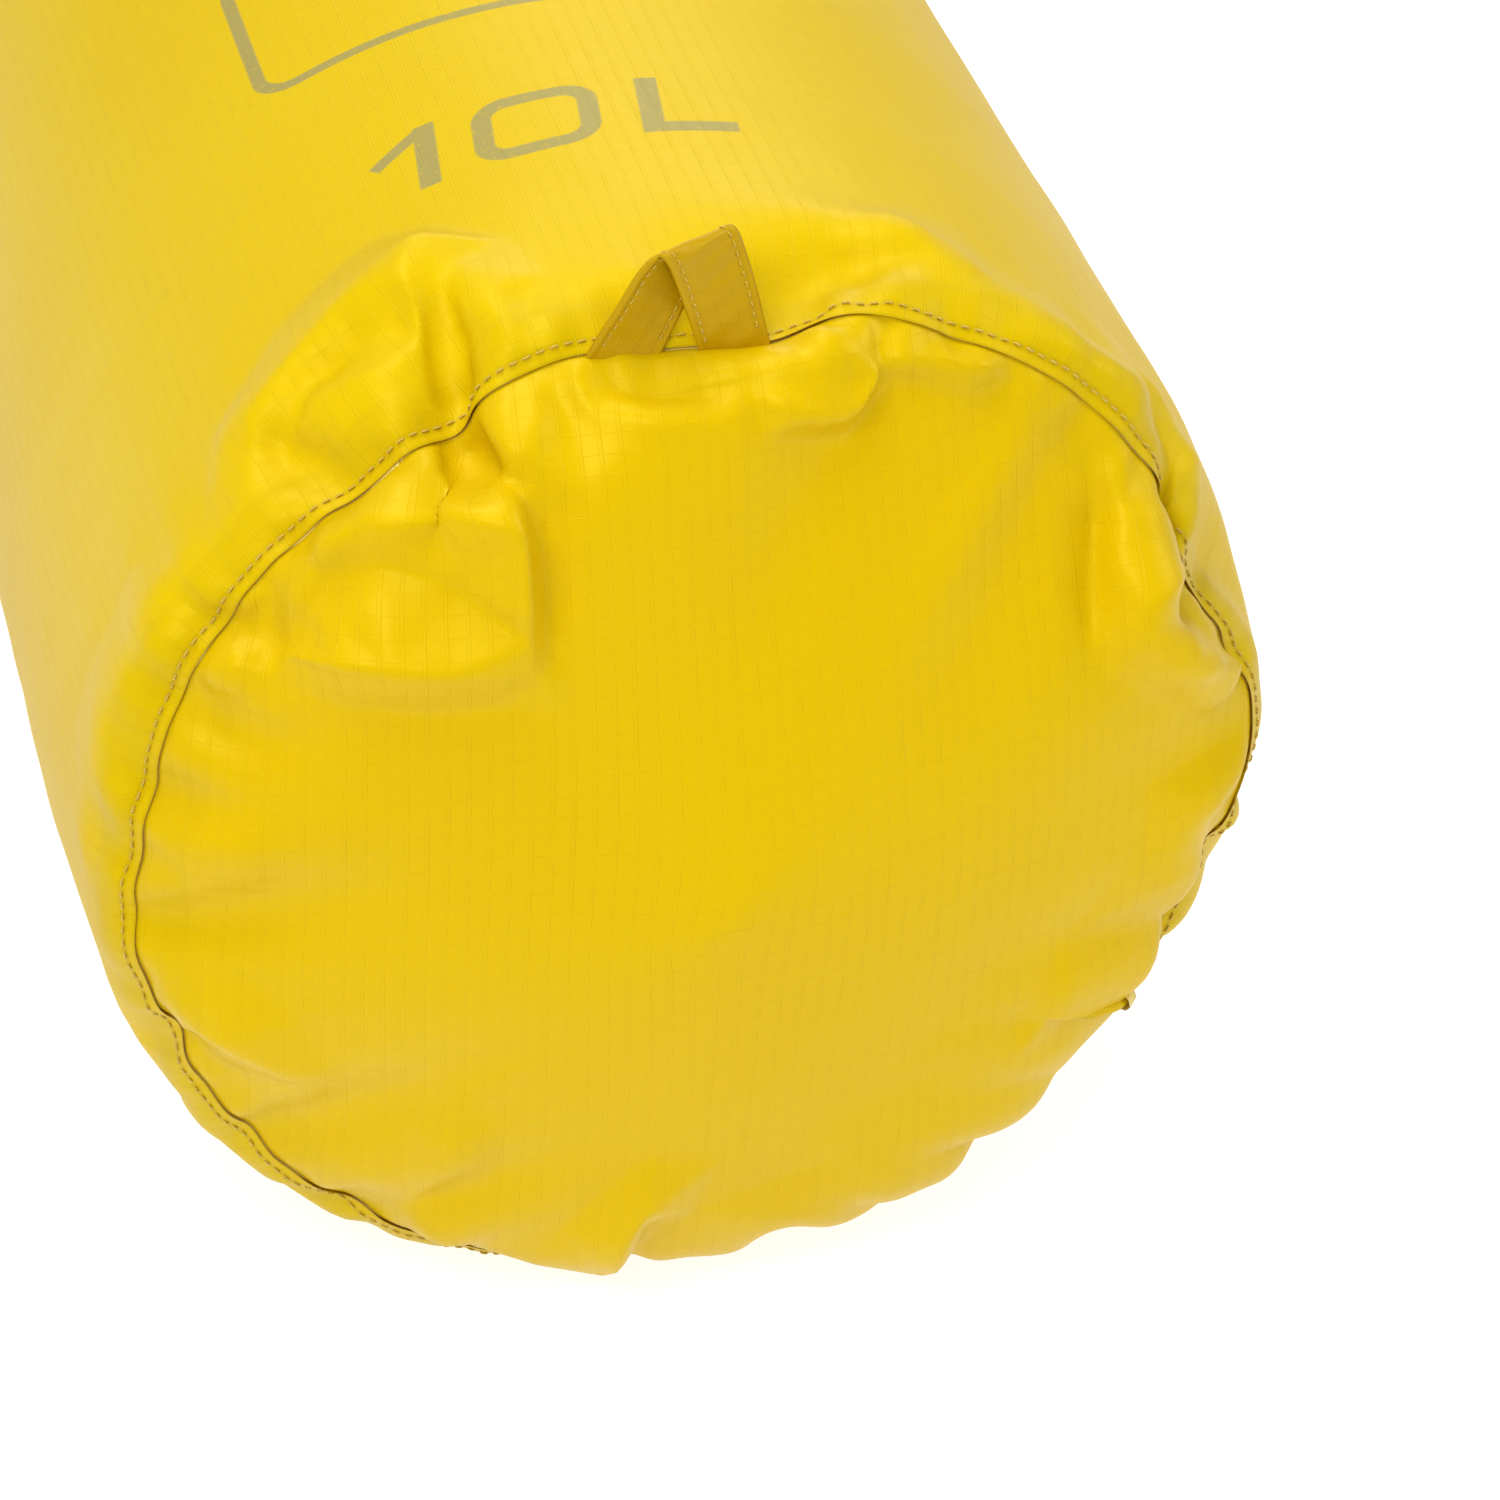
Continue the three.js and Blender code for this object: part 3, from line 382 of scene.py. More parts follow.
def tube_along(path, r, sides=6, taper=.55, up=None):
    """A short closed tube along a path (k, 3), ends drawn in, for threads."""
    path = np.asarray(path, float)
    k = len(path)
    tan = np.gradient(path, axis=0)
    tan /= np.linalg.norm(tan, axis=1, keepdims=True) + 1e-9
    up = np.array([0, 0, 1.0]) if up is None else np.asarray(up, float)
    up = np.broadcast_to(up, tan.shape)
    side = np.cross(tan, up); side /= np.linalg.norm(side, axis=1, keepdims=True) + 1e-9
    nrm = np.cross(side, tan)
    rad = np.full(k, r); rad[0] *= taper; rad[-1] *= taper
    a = np.arange(sides) / sides * 2 * pi
    v = path[:, None] + rad[:, None, None] * (np.cos(a)[None, :, None] * side[:, None] + np.sin(a)[None, :, None] * nrm[:, None])
    v = v.reshape(-1, 3)
    f = grid_faces(k, sides)
    n = len(v)
    v = np.concatenate([v, path[:1], path[-1:]])
    cap = [[j, n, n, (j + 1) % sides] for j in range(sides)]
    tri0 = np.array([[(j + 1) % sides, j, n, n] for j in range(sides)])
    tri1 = np.array([[(k - 1) * sides + j, (k - 1) * sides + (j + 1) % sides, n + 1, n + 1] for j in range(sides)])
    return v, f, np.concatenate([tri0, tri1])


def threads(name, segs, r, mat, body, sides=6):
    """Many short threads as one piece. segs is a list of (path, up)."""
    V, F4, F3, n = [], [], [], 0
    for path, up in segs:
        v, f, caps = tube_along(path, r, sides, up=up)
        V.append(v); F4.append(f + n); F3.append(caps[:, :3] + n); n += len(v)
    V = np.concatenate(V)
    faces = [list(map(int, q)) for q in np.concatenate(F4)] + [list(map(int, q)) for q in np.concatenate(F3)]
    me = bpy.data.meshes.new(name)
    me.from_pydata((V / 1000).tolist(), [], faces)
    me.shade_smooth()
    o = link(me, name)
    me.materials.append(mat)
    if body:
        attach(o, body)
    return o


def stitches_on(at, length, pitch=STITCH, lift=.22, duty=.80, k=5, start=.0, sag=.35):
    """Short threads along a line on a surface. at(s) gives (points, normals) for arc lengths s in mm."""
    n = int((length - 2 * start) / pitch)
    out = []
    for i in range(n):
        s0 = start + i * pitch
        s = np.linspace(s0, s0 + pitch * duty, k)
        p, nn = at(s)
        x = np.linspace(-1, 1, k)
        h = lift * (1 - np.abs(x) ** 3) - sag * np.abs(x) ** 5
        out.append((p + nn * h[:, None], nn))
    return out


def smoothstep(t):
    t = np.clip(t, 0, 1)
    return t * t * (3 - 2 * t)


# ------------------------------------------------------------------ materials
def nodes_of(name):
    m = bpy.data.materials.new(name)
    m.use_nodes = True
    nt = m.node_tree
    return m, nt, nt.nodes["Principled BSDF"], nt.nodes["Material Output"]


class Net:
    """A little help to write shader maths."""

    def __init__(self, nt):
        self.nt = nt

    def node(self, kind, **kw):
        n = self.nt.nodes.new(kind)
        for k, v in kw.items():
            setattr(n, k, v)
        return n

    def link(self, a, b):
        self.nt.links.new(a, b)

    def math(self, op, a, b=None, c=None, clamp=False):
        n = self.node("ShaderNodeMath", operation=op, use_clamp=clamp)
        for i, x in enumerate((a, b, c)):
            if x is None:
                continue
            if isinstance(x, (int, float)):
                n.inputs[i].default_value = x
            else:
                self.link(x, n.inputs[i])
        return n.outputs[0]

    def noise(self, vec, scale, detail=2.0, rough=.5, out=0):
        n = self.node("ShaderNodeTexNoise")
        n.inputs["Scale"].default_value = scale
        n.inputs["Detail"].default_value = detail
        n.inputs["Roughness"].default_value = rough
        self.link(vec, n.inputs["Vector"])
        return n.outputs[out]

    def ramp(self, fac, lo, hi, a=0., b=1.):
        n = self.node("ShaderNodeMapRange")
        n.inputs["From Min"].default_value = lo
        n.inputs["From Max"].default_value = hi
        n.inputs["To Min"].default_value = a
        n.inputs["To Max"].default_value = b
        self.link(fac, n.inputs["Value"])
        return n.outputs[0]

    def mix(self, fac, a, b):
        n = self.node("ShaderNodeMix", data_type="RGBA")
        if isinstance(fac, (int, float)):
            n.inputs["Factor"].default_value = fac
        else:
            self.link(fac, n.inputs["Factor"])
        for x, s in ((a, n.inputs[6]), (b, n.inputs[7])):
            if isinstance(x, tuple):
                s.default_value = (*x, 1)
            else:
                self.link(x, s)
        return n.outputs[2]

    def bump(self, height, strength, dist, normal=None):
        n = self.node("ShaderNodeBump")
        n.inputs["Strength"].default_value = strength
        n.inputs["Distance"].default_value = dist
        self.link(height, n.inputs["Height"])
        if normal is not None:
            self.link(normal, n.inputs["Normal"])
        return n.outputs[0]

    def uv_mm(self, name="Weave"):
        u = self.node("ShaderNodeUVMap", uv_map=name)
        s = self.node("ShaderNodeSeparateXYZ")
        self.link(u.outputs[0], s.inputs[0])
        return self.math("MULTIPLY", s.outputs[0], 100.0), self.math("MULTIPLY", s.outputs[1], 100.0), u.outputs[0]

    def lines(self, x, pitch, width, phase=0.0):
        """1 on thin lines every pitch, 0 between."""
        a = self.math("MULTIPLY", self.math("ADD", x, phase), 1.0 / pitch)
        f = self.math("FRACT", a)
        d = self.math("ABSOLUTE", self.math("SUBTRACT", f, .5))
        return self.ramp(d, width / pitch * .5, width / pitch * .2)


def box_sdf(n, u, v, cx, cy, hx, hy, r=0.0):
    """Distance in mm from a rounded box, negative inside."""
    qx = n.math("SUBTRACT", n.math("ABSOLUTE", n.math("SUBTRACT", u, cx)), hx - r)
    qy = n.math("SUBTRACT", n.math("ABSOLUTE", n.math("SUBTRACT", v, cy)), hy - r)
    px, py = n.math("MAXIMUM", qx, 0.0), n.math("MAXIMUM", qy, 0.0)
    out = n.math("SQRT", n.math("ADD", n.math("MULTIPLY", px, px), n.math("MULTIPLY", py, py)))
    inside = n.math("MINIMUM", n.math("MAXIMUM", qx, qy), 0.0)
    return n.math("SUBTRACT", n.math("ADD", out, inside), r)


def ring_sdf(n, d, half):
    return n.math("SUBTRACT", n.math("ABSOLUTE", d), half)


def capacity_mark(n, u, v):
    """A plain 10 L in a neutral face, and a blank name panel's outline above it."""
    x = n.math("SUBTRACT", PRINT_U, u)           # reads left to right against the way u grows
    y = n.math("SUBTRACT", v, PRINT_T)
    x = n.math("SUBTRACT", x, n.math("MULTIPLY", y, .12))
    d = box_sdf(n, x, y, -17.6, 10.5, 1.9, 10.5, .3)                                  # 1, its stem
    xf = n.math("ADD", n.math("MULTIPLY", n.math("ADD", x, 22.5), .80), n.math("MULTIPLY", n.math("SUBTRACT", y, 16.2), .60))
    yf = n.math("SUBTRACT", n.math("MULTIPLY", n.math("SUBTRACT", y, 16.2), .80), n.math("MULTIPLY", n.math("ADD", x, 22.5), .60))
    d = n.math("MINIMUM", d, box_sdf(n, xf, yf, 0.0, 0.0, 5.6, 1.5, .3))              # and its flag
    zero = ring_sdf(n, box_sdf(n, x, y, 1.2, 10.5, 9.0, 8.9, 4.6), 1.75)
    d = n.math("MINIMUM", d, zero)
    d = n.math("MINIMUM", d, box_sdf(n, x, y, 20.4, 10.5, 1.9, 10.5, .3))             # L
    d = n.math("MINIMUM", d, box_sdf(n, x, y, 26.6, 1.8, 8.0, 1.8, .3))
    panel = ring_sdf(n, box_sdf(n, n.math("SUBTRACT", u, PRINT_U), v, 0.0, PANEL_T + 24, 38, 24, 7.0), 1.3)
    return n.math("MINIMUM", d, panel)


PRINT_U = ((99.2 - 212.0) % 360) / 360 * 2 * pi * R0
PRINT_T = 57.0
PANEL_T = 113.0


def fabric_material(name, base, deep, kind="plain", translucent=.30, rough=.36, coat=.2, grid=.44, sheen=0.0, ripstop=1.0):
    m, nt, bs, out = nodes_of(name)
    n = Net(nt)
    u, v, uv = n.uv_mm()
    # ripstop: a pair of thicker yarns each way, stronger one way than the other
    gu = n.math("MAXIMUM", n.lines(u, RIP, .30), n.math("MULTIPLY", n.lines(u, RIP, .24, .62), .6))
    gv = n.math("MULTIPLY", n.lines(v, RIP, .30), .55)
    g = n.math("MAXIMUM", gu, gv)
    # fine plain weave between them
    wu = n.math("SINE", n.math("MULTIPLY", u, 2 * pi / .42))
    wv = n.math("SINE", n.math("MULTIPLY", v, 2 * pi / .42))
    weave = n.math("MULTIPLY", wu, wv)
    patch = n.ramp(n.noise(uv, 3.6, 3, .6), .42, .66)
    cloud = n.noise(uv, 1.5, 4, .55)
    crink = n.noise(uv, 14, 5, .60)
    fine = n.noise(uv, 90, 3, .6)
    slub = n.noise(uv, 34, 2, .5)
    col = n.mix(n.ramp(cloud, .3, .7), base, (base[0] * .97, base[1] * .95, base[2]))
    seen = n.math("MULTIPLY", n.math("MULTIPLY", g, n.ramp(slub, .45, .62)), n.ramp(patch, 0, 1, .05 * ripstop, .28 * ripstop))
    col = n.mix(seen, col, deep)
    col = n.mix(n.math("MULTIPLY", n.ramp(fine, .60, .80), .06), col, deep)
    if kind == "tube":
        # painted shade: the tube is darker beside the seam, where the three layers of cloth and the tape lie behind it
        near = n.ramp(v, 10.2, 8.8)
        col = n.mix(n.math("MULTIPLY", near, .22), col, (base[0] * .86, base[1] * .82, base[2]))
        # painted shade: a dark line along the tube's folded edge, standing in for the shade in the seam's groove
        col = n.mix(n.math("MULTIPLY", n.ramp(v, .65, .15), .36), col, (.40, .25, .001))
        # painted shade: a darker band along the stitch row, where the thread draws the cloth down
        stitch_row_shade = n.ramp(n.math("ABSOLUTE", n.math("SUBTRACT", v, 2.2)), .75, .2)
        col = n.mix(n.math("MULTIPLY", stitch_row_shade, .30), col, deep)
        mark = n.ramp(capacity_mark(n, u, v), .22, -.22)
        worn = n.ramp(n.noise(uv, 70, 3, .6), .30, .42, .55, 1.0)
        mark = n.math("MULTIPLY", n.math("MULTIPLY", mark, worn), .90)
        col = n.mix(mark, col, INK)
    if kind == "panel":
        r = n.math("SQRT", n.math("ADD", n.math("MULTIPLY", u, u), n.math("MULTIPLY", v, v)))
        d = n.math("SUBTRACT", RD, r)
        # painted shade: a dark line along the panel's rim, standing in for the shade in the seam's groove
        col = n.mix(n.math("MULTIPLY", n.ramp(d, .8, .15), .32), col, (.40, .25, .001))
        # painted shade: the panel is slightly darker within the tape's width, where the tape lies behind it
        col = n.mix(n.math("MULTIPLY", n.ramp(d, 10.2, 9.2), .08), col, (base[0] * .86, base[1] * .82, base[2]))
    n.link(col, bs.inputs["Base Color"])
    r_ = n.math("ADD", n.math("MULTIPLY", cloud, .16), rough - .08)
    r_ = n.math("ADD", r_, n.math("MULTIPLY", g, .06))
    n.link(r_, bs.inputs["Roughness"])
    bs.inputs["Coat Weight"].default_value = coat
    bs.inputs["Coat Roughness"].default_value = .28
    bs.inputs["Coat IOR"].default_value = 1.45
    bs.inputs["Specular IOR Level"].default_value = .5
    bs.inputs["Specular Tint"].default_value = (1.0, .80, .05, 1)
    bs.inputs["Sheen Weight"].default_value = sheen
    bs.inputs["Sheen Roughness"].default_value = .4
    b1 = n.bump(crink, .16, .0010)
    b2 = n.bump(g, grid, .00010, b1)
    b3 = n.bump(weave, .10, .00004, b2)
    n.link(b3, bs.inputs["Normal"])
    n.link(b2, bs.inputs["Coat Normal"])
    tr = n.node("ShaderNodeBsdfTranslucent")
    n.link(col, tr.inputs[0])
    n.link(b2, tr.inputs["Normal"])
    mx = n.node("ShaderNodeMixShader")
    mx.inputs[0].default_value = translucent
    n.link(bs.outputs[0], mx.inputs[1]); n.link(tr.outputs[0], mx.inputs[2]); n.link(mx.outputs[0], out.inputs[0])
    return m


def plain_material(name, base, dark, rough, scale=40, bump=.25, dist=.0002, coat=0.0, spec=.5, coords="Object", detail=4):
    m, nt, bs, out = nodes_of(name)
    n = Net(nt)
    tc = n.node("ShaderNodeTexCoord")
    vec = tc.outputs[coords]
    a = n.noise(vec, scale, detail, .6)
    b = n.noise(vec, scale * 9, 2, .5)
    n.link(n.mix(n.ramp(a, .35, .65), base, dark), bs.inputs["Base Color"])
    n.link(n.math("ADD", n.math("MULTIPLY", b, .14), rough - .07), bs.inputs["Roughness"])
    bs.inputs["Specular IOR Level"].default_value = spec
    if coat:
        bs.inputs["Coat Weight"].default_value = coat
    n.link(n.bump(b, bump, dist), bs.inputs["Normal"])
    return m


def thread_material(name, base, dark):
    m, nt, bs, out = nodes_of(name)
    n = Net(nt)
    tc = n.node("ShaderNodeTexCoord")
    w = n.node("ShaderNodeTexWave", wave_type="BANDS", bands_direction="DIAGONAL")
    w.inputs["Scale"].default_value = 900
    w.inputs["Distortion"].default_value = 1.5
    n.link(tc.outputs["Object"], w.inputs["Vector"])
    n.link(n.mix(w.outputs["Fac"], dark, base), bs.inputs["Base Color"])
    bs.inputs["Roughness"].default_value = .62
    bs.inputs["Sheen Weight"].default_value = .3
    n.link(n.bump(w.outputs["Fac"], .5, .00008), bs.inputs["Normal"])
    return m


def webbing_material(name):
    m, nt, bs, out = nodes_of(name)
    n = Net(nt)
    u, v, uv = n.uv_mm()  # u along, v across, mm
    rib = n.math("SINE", n.math("MULTIPLY", v, 2 * pi / 1.25))
    tw = n.math("SINE", n.math("MULTIPLY", n.math("ADD", u, n.math("MULTIPLY", rib, .22)), 2 * pi / 1.1))
    h = n.math("ADD", n.math("MULTIPLY", rib, .6), n.math("MULTIPLY", tw, .5))
    edge = n.ramp(n.math("ABSOLUTE", v), 6.3, 7.1)
    cloud = n.noise(uv, 9, 4, .6)
    c = n.mix(n.ramp(h, -1, 1), (.010, .010, .011), (.045, .046, .050))
    c = n.mix(n.math("MULTIPLY", n.ramp(cloud, .4, .7), .4), c, (.06, .06, .062))
    n.link(c, bs.inputs["Base Color"])
    n.link(n.math("ADD", n.math("MULTIPLY", cloud, .15), .62), bs.inputs["Roughness"])
    bs.inputs["Sheen Weight"].default_value = .25
    n.link(n.bump(n.math("ADD", h, n.math("MULTIPLY", edge, .8)), .8, .00025), bs.inputs["Normal"])
    return m


YELLOW = (.79, .535, .0005)
DEEP = (.50, .31, .001)
INK = (.376, .328, .114)
mat_fabric = fabric_material("coated_ripstop", (.775, .556, .0005), DEEP, "tube", translucent=.22, coat=.04, rough=.45)
mat_panel = fabric_material("coated_ripstop_panel", (.765, .528, .0005), DEEP, "panel", translucent=.18, coat=.06, rough=.40)
mat_loop = fabric_material("coated_ripstop_strap", (.50, .295, .001), (.30, .17, .001), translucent=.03, rough=.40, coat=.12, ripstop=.4)
mat_roll = fabric_material("coated_ripstop_roll", (.76, .51, .001), DEEP, translucent=.12, coat=.25)
mat_inner = fabric_material("coated_ripstop_allowance", YELLOW, DEEP, translucent=.16)
mat_tape = plain_material("seam_tape_film", (.86, .70, .22), (.78, .60, .12), .42, 30, .2, .0002)
mat_thread = thread_material("topstitch_thread", (.66, .46, .010), (.42, .27, .003))
mat_tack = thread_material("tack_thread", (.05, .05, .052), (.012, .012, .013))
mat_web = webbing_material("buckle_webbing")
mat_plastic = plain_material("moulded_acetal", (.012, .012, .013), (.020, .020, .022), .42, 25, .35, .00006, spec=.55)
mat_strip = plain_material("stiffener_strip", (.70, .70, .66), (.62, .62, .58), .5, 30, .2, .0001)
mat_ink = plain_material("capacity_ink", (.335, .285, .098), (.40, .345, .125), .40, 220, .25, .00005, coat=.2)

# ------------------------------------------------------------------ the sack's skin: simulate, refine, crease
P0, (rd0, t0, N0) = run(((500, 500, 400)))
nd0 = len(rd0) - 1


def catmull_rows(P, idx):
    i = np.clip(idx.astype(int), 0, len(P) - 2)
    f = (idx - i)[:, None, None]
    a, b, c, d = P[np.maximum(i - 1, 0)], P[i], P[i + 1], P[np.minimum(i + 2, len(P) - 1)]
    return b + .5 * f * (c - a + f * (2 * a - 5 * b + 4 * c - d + f * (3 * (b - c) + d - a)))


def double_cols(P):
    m = (9 * (P + np.roll(P, -1, 1)) - np.roll(P, 1, 1) - np.roll(P, -2, 1)) / 16
    Q = np.empty((P.shape[0], P.shape[1] * 2, 3))
    Q[:, 0::2] = P; Q[:, 1::2] = m
    return Q


P0[0] = P0[0].mean(0)
P0 = double_cols(P0)
N = P0.shape[1]
ang = np.arange(N) / N * 2 * pi
phi = np.arctan2(P0[nd0, :, 2] - AX, P0[nd0, :, 0])
mat_angle = ang + np.mean(np.unwrap(phi - ang))
k0 = int(np.argmin(np.abs((mat_angle - 212 * DEG + pi) % (2 * pi) - pi)))
P0 = np.roll(P0, -k0, axis=1)
MAT0 = mat_angle[k0]
mat_angle = MAT0 + ang
U = ang * R0  # mm round the tube, from the lengthwise seam
PERIOD = 2 * pi * R0

rd = np.linspace(0, RD, 88)
t = [0.0]
step0 = 1.1
while t[-1] < TUBE_LEN - 2.5:
    t.append(t[-1] + (step0 if t[-1] < 66 else min(4.6, step0 + (t[-1] - 66) * .04)))
t = np.array(t); t *= TUBE_LEN / t[-1]
D = catmull_rows(P0[:nd0 + 1], np.interp(rd, rd0, np.arange(nd0 + 1)))
T = catmull_rows(P0[nd0:], np.interp(t, t0, np.arange(len(t0))))


def grid_normals(G, outward):
    du = np.roll(G, -1, 1) - np.roll(G, 1, 1)
    dv = np.empty_like(G)
    dv[1:-1] = G[2:] - G[:-2]; dv[0] = G[1] - G[0]; dv[-1] = G[-1] - G[-2]
    n = np.cross(du, dv)
    n /= np.linalg.norm(n, axis=2, keepdims=True) + 1e-9
    mid = G.shape[0] // 2
    c = (G[mid] - np.array([0, 0, AX]))
    if outward == "y":
        s = -np.sign(n[mid, :, 1].mean())
    else:
        s = np.sign((n[mid] * np.array([1, 0, 1]) * c).sum(-1).mean())
    return n * s


def seam_normals(n_d, n_t):
    """The two cloths share their seam, so near it each takes part of the other's direction."""
    m = n_d[-1] + n_t[0]
    m /= np.linalg.norm(m, axis=1, keepdims=True)
    return m


def crease_heights(lines, X, Y, extra, pitch, clear, box):
    """Flat facets between crease lines: heights at the lines' points, spread linearly over a triangulation of the flat cloth."""
    from mathutils.geometry import delaunay_2d_cdt
    V, H, E = [], [], []
    for line in lines:
        for k, (a, b, h) in enumerate(line):
            if k:
                E.append((len(V) - 1, len(V)))
            V.append((a, b)); H.append(h)
    keep = np.array(V)
    fill = []
    for a in np.arange(box[0], box[1], pitch):
        for b in np.arange(box[2], box[3], pitch):
            if np.hypot(keep[:, 0] - a, keep[:, 1] - b).min() > clear and extra[1](a, b):
                fill.append((a, b))
    fill += extra[0]
    V += fill; H += [0.0] * len(fill)
    out = delaunay_2d_cdt([Vector(p) for p in V], E, [], 0, 1e-4)
    vo = np.array([tuple(p) for p in out[0]])
    ho = np.zeros(len(vo))
    for i, src in enumerate(out[3]):
        if src:
            ho[i] = H[src[0]]
        else:
            d = np.hypot(*(np.array(V) - vo[i]).T) + 1e-6
            near = np.argsort(d)[:2]
            ho[i] = (np.array(H)[near] / d[near]).sum() / (1 / d[near]).sum()
    Z = np.zeros(X.shape)
    for f in out[2]:
        a, b, c = vo[f[0]], vo[f[1]], vo[f[2]]
        lo = np.minimum(np.minimum(a, b), c); hi = np.maximum(np.maximum(a, b), c)
        w = np.nonzero((X >= lo[0]) & (X <= hi[0]) & (Y >= lo[1]) & (Y <= hi[1]))
        if not len(w[0]):
            continue
        det = (b[1] - c[1]) * (a[0] - c[0]) + (c[0] - b[0]) * (a[1] - c[1])
        if abs(det) < 1e-9:
            continue
        l1 = ((b[1] - c[1]) * (X[w] - c[0]) + (c[0] - b[0]) * (Y[w] - c[1])) / det
        l2 = ((c[1] - a[1]) * (X[w] - c[0]) + (a[0] - c[0]) * (Y[w] - c[1])) / det
        l3 = 1 - l1 - l2
        ok = (l1 >= -1e-6) & (l2 >= -1e-6) & (l3 >= -1e-6)
        Z[w[0][ok], w[1][ok]] = (l1 * ho[f[0]] + l2 * ho[f[1]] + l3 * ho[f[2]])[ok]
    return Z


def soften(Z, times):
    for _ in range(times):
        Z = .5 * Z + .25 * (np.roll(Z, 1, 1) + np.roll(Z, -1, 1))
        Q = Z.copy()
        Q[1:-1] = .5 * Z[1:-1] + .25 * (Z[2:] + Z[:-2])
        Z = Q
    return Z


rng = np.random.default_rng(5)


def wave_noise(s, lo, hi, n, period=PERIOD):
    """Smooth periodic noise round the seam, wavelengths lo to hi mm."""
    out = np.zeros_like(s)
    for _ in range(n):
        k = round(period / rng.uniform(lo, hi))
        out = out + rng.normal() * np.cos(2 * pi * k * s / period + rng.uniform(0, 2 * pi))
    return out / math.sqrt(n / 2)


flat_x = rd[:, None] * np.cos(mat_angle)[None]
flat_z = rd[:, None] * np.sin(mat_angle)[None]
ringpts = [(RD * 1.01 * math.cos(a), RD * 1.01 * math.sin(a)) for a in np.arange(0, 2 * pi, 5 * DEG)]
Hd = crease_heights(PANEL_CREASES, flat_x, flat_z, (ringpts, lambda a, b: math.hypot(a, b) < RD - 6), 17, 13, (-96, 97, -96, 97))
dist_d = RD - rd[:, None] + 0 * ang[None]
Hd = 2.3 * soften(Hd, 1) * smoothstep(dist_d / 3.5)

tube_lines = []
for line in TUBE_CREASES:
    tube_lines.append([(float(((a / PERIOD * 2 * pi - MAT0) % (2 * pi)) * R0), b, h) for a, b, h in line])
tt = t[:, None] + 0 * ang[None]
uu = 0 * t[:, None] + U[None]
edge = [(a, -1.0) for a in np.arange(-4, PERIOD + 8, 12)] + [(a, 96.0) for a in np.arange(-4, PERIOD + 8, 24)]
Ht = crease_heights(tube_lines, uu, tt, (edge, lambda a, b: 8 < b < 90), 21, 15, (0, PERIOD, 0, 92))
Ht = 1.9 * soften(Ht, 1) * smoothstep(tt / 4.5)

# puckers that the topstitching draws in, on both sides of the seam
puck = wave_noise(U, 4.5, 13, 14)
puck2 = wave_noise(U, 10, 30, 10)
gate = .35 + .65 * smoothstep((wave_noise(U, 25, 80, 6) + 1.2) / 2.4)
Hd += (.34 * puck * gate)[None] * np.exp(-dist_d / 5.5) * smoothstep(dist_d / 1.2) + (.45 * puck2 * gate)[None] * np.exp(-dist_d / 13) * smoothstep(dist_d / 4)
Ht += (.34 * np.roll(puck, 3) * gate)[None] * np.exp(-tt / 8) * smoothstep((tt - .4) / 2.5) + (.5 * puck2 * gate)[None] * np.exp(-tt / 20) * smoothstep(tt / 5)


def crumple(X, Y, n, lo, hi, seed):
    """Weak random folds: ridged waves in random directions."""
    r = np.random.default_rng(seed)
    out = np.zeros(X.shape)
    for _ in range(n):
        a = r.uniform(0, pi); L = r.uniform(lo, hi); p = r.uniform(0, 2 * pi)
        w = np.sin((X * math.cos(a) + Y * math.sin(a)) * 2 * pi / L + p + 1.3 * np.sin((Y * math.cos(a) - X * math.sin(a)) * 2 * pi / (L * 2.7) + p * 2))
        out += (1 - np.abs(w)) ** 2 * r.uniform(.4, 1)
    return out / n


Hd += .55 * (crumple(flat_x, flat_z, 9, 34, 80, 3) - .3) * (.35 + .65 * np.exp(-dist_d / 24)) * smoothstep(dist_d / 12)
Ht += .8 * (crumple(uu, tt, 7, 60, 150, 4) - .3) * smoothstep(tt / 20) * smoothstep((TUBE_LEN - tt) / 20)

# the seam itself: the tube's edge is folded over its allowance, the panel dives under it
step = .34 * smoothstep(tt / .7) * (1 - smoothstep((tt - 7.6) / 1.4)) + .14 * smoothstep(tt / .6) * np.exp(-((tt - 9.3) / .9) ** 2)
stitch_dip = -.16 * np.exp(-((tt - 2.2) / .9) ** 2)
side = .30 * smoothstep(uu / 1.0) * (1 - smoothstep((uu - 8.0) / 1.5))
Ht += step + stitch_dip + side * smoothstep((tt - 6) / 10)
Hd += -.28 * np.exp(-(dist_d / .9) ** 2) - .05 * np.exp(-((dist_d - 9.4) / .6) ** 2)


def arc(lo, hi, soft):
    a = (mat_angle / DEG + 180) % 360 - 180
    return smoothstep((a - lo) / soft) * smoothstep((hi - a) / soft)


# low down the contents push the panel out over its own seam
over = 4.6 * arc(-82, -6, 18) + 2.6 * arc(-134, -74, 18)
Hd += over[None] * smoothstep(dist_d / 9) * smoothstep((46 - dist_d) / 36)

nD, nT = grid_normals(D, "y"), grid_normals(T, "r")
join = seam_normals(nD, nT)
nD[-1] = join; nT[0] = join
flatten = smoothstep((T[:, :, 2] - 1.0) / 3.0)      # nothing stands off the floor's side
D2 = D + nD * Hd[..., None]
T2 = T + nT * (Ht * flatten)[..., None]
D2[:, :, 2] = np.maximum(D2[:, :, 2], .30)
T2[:, :, 2] = np.maximum(T2[:, :, 2], .15)
# the tube's folded edge laps over the panel's rim
T2[0] += nT[0] * .10 + nD[-2] * .12

# ------------------------------------------------------------------ the gathered neck
def ring_xz(th, a=RING_A, b=RING_B):
    return a * np.cos(th), b * np.sin(th)


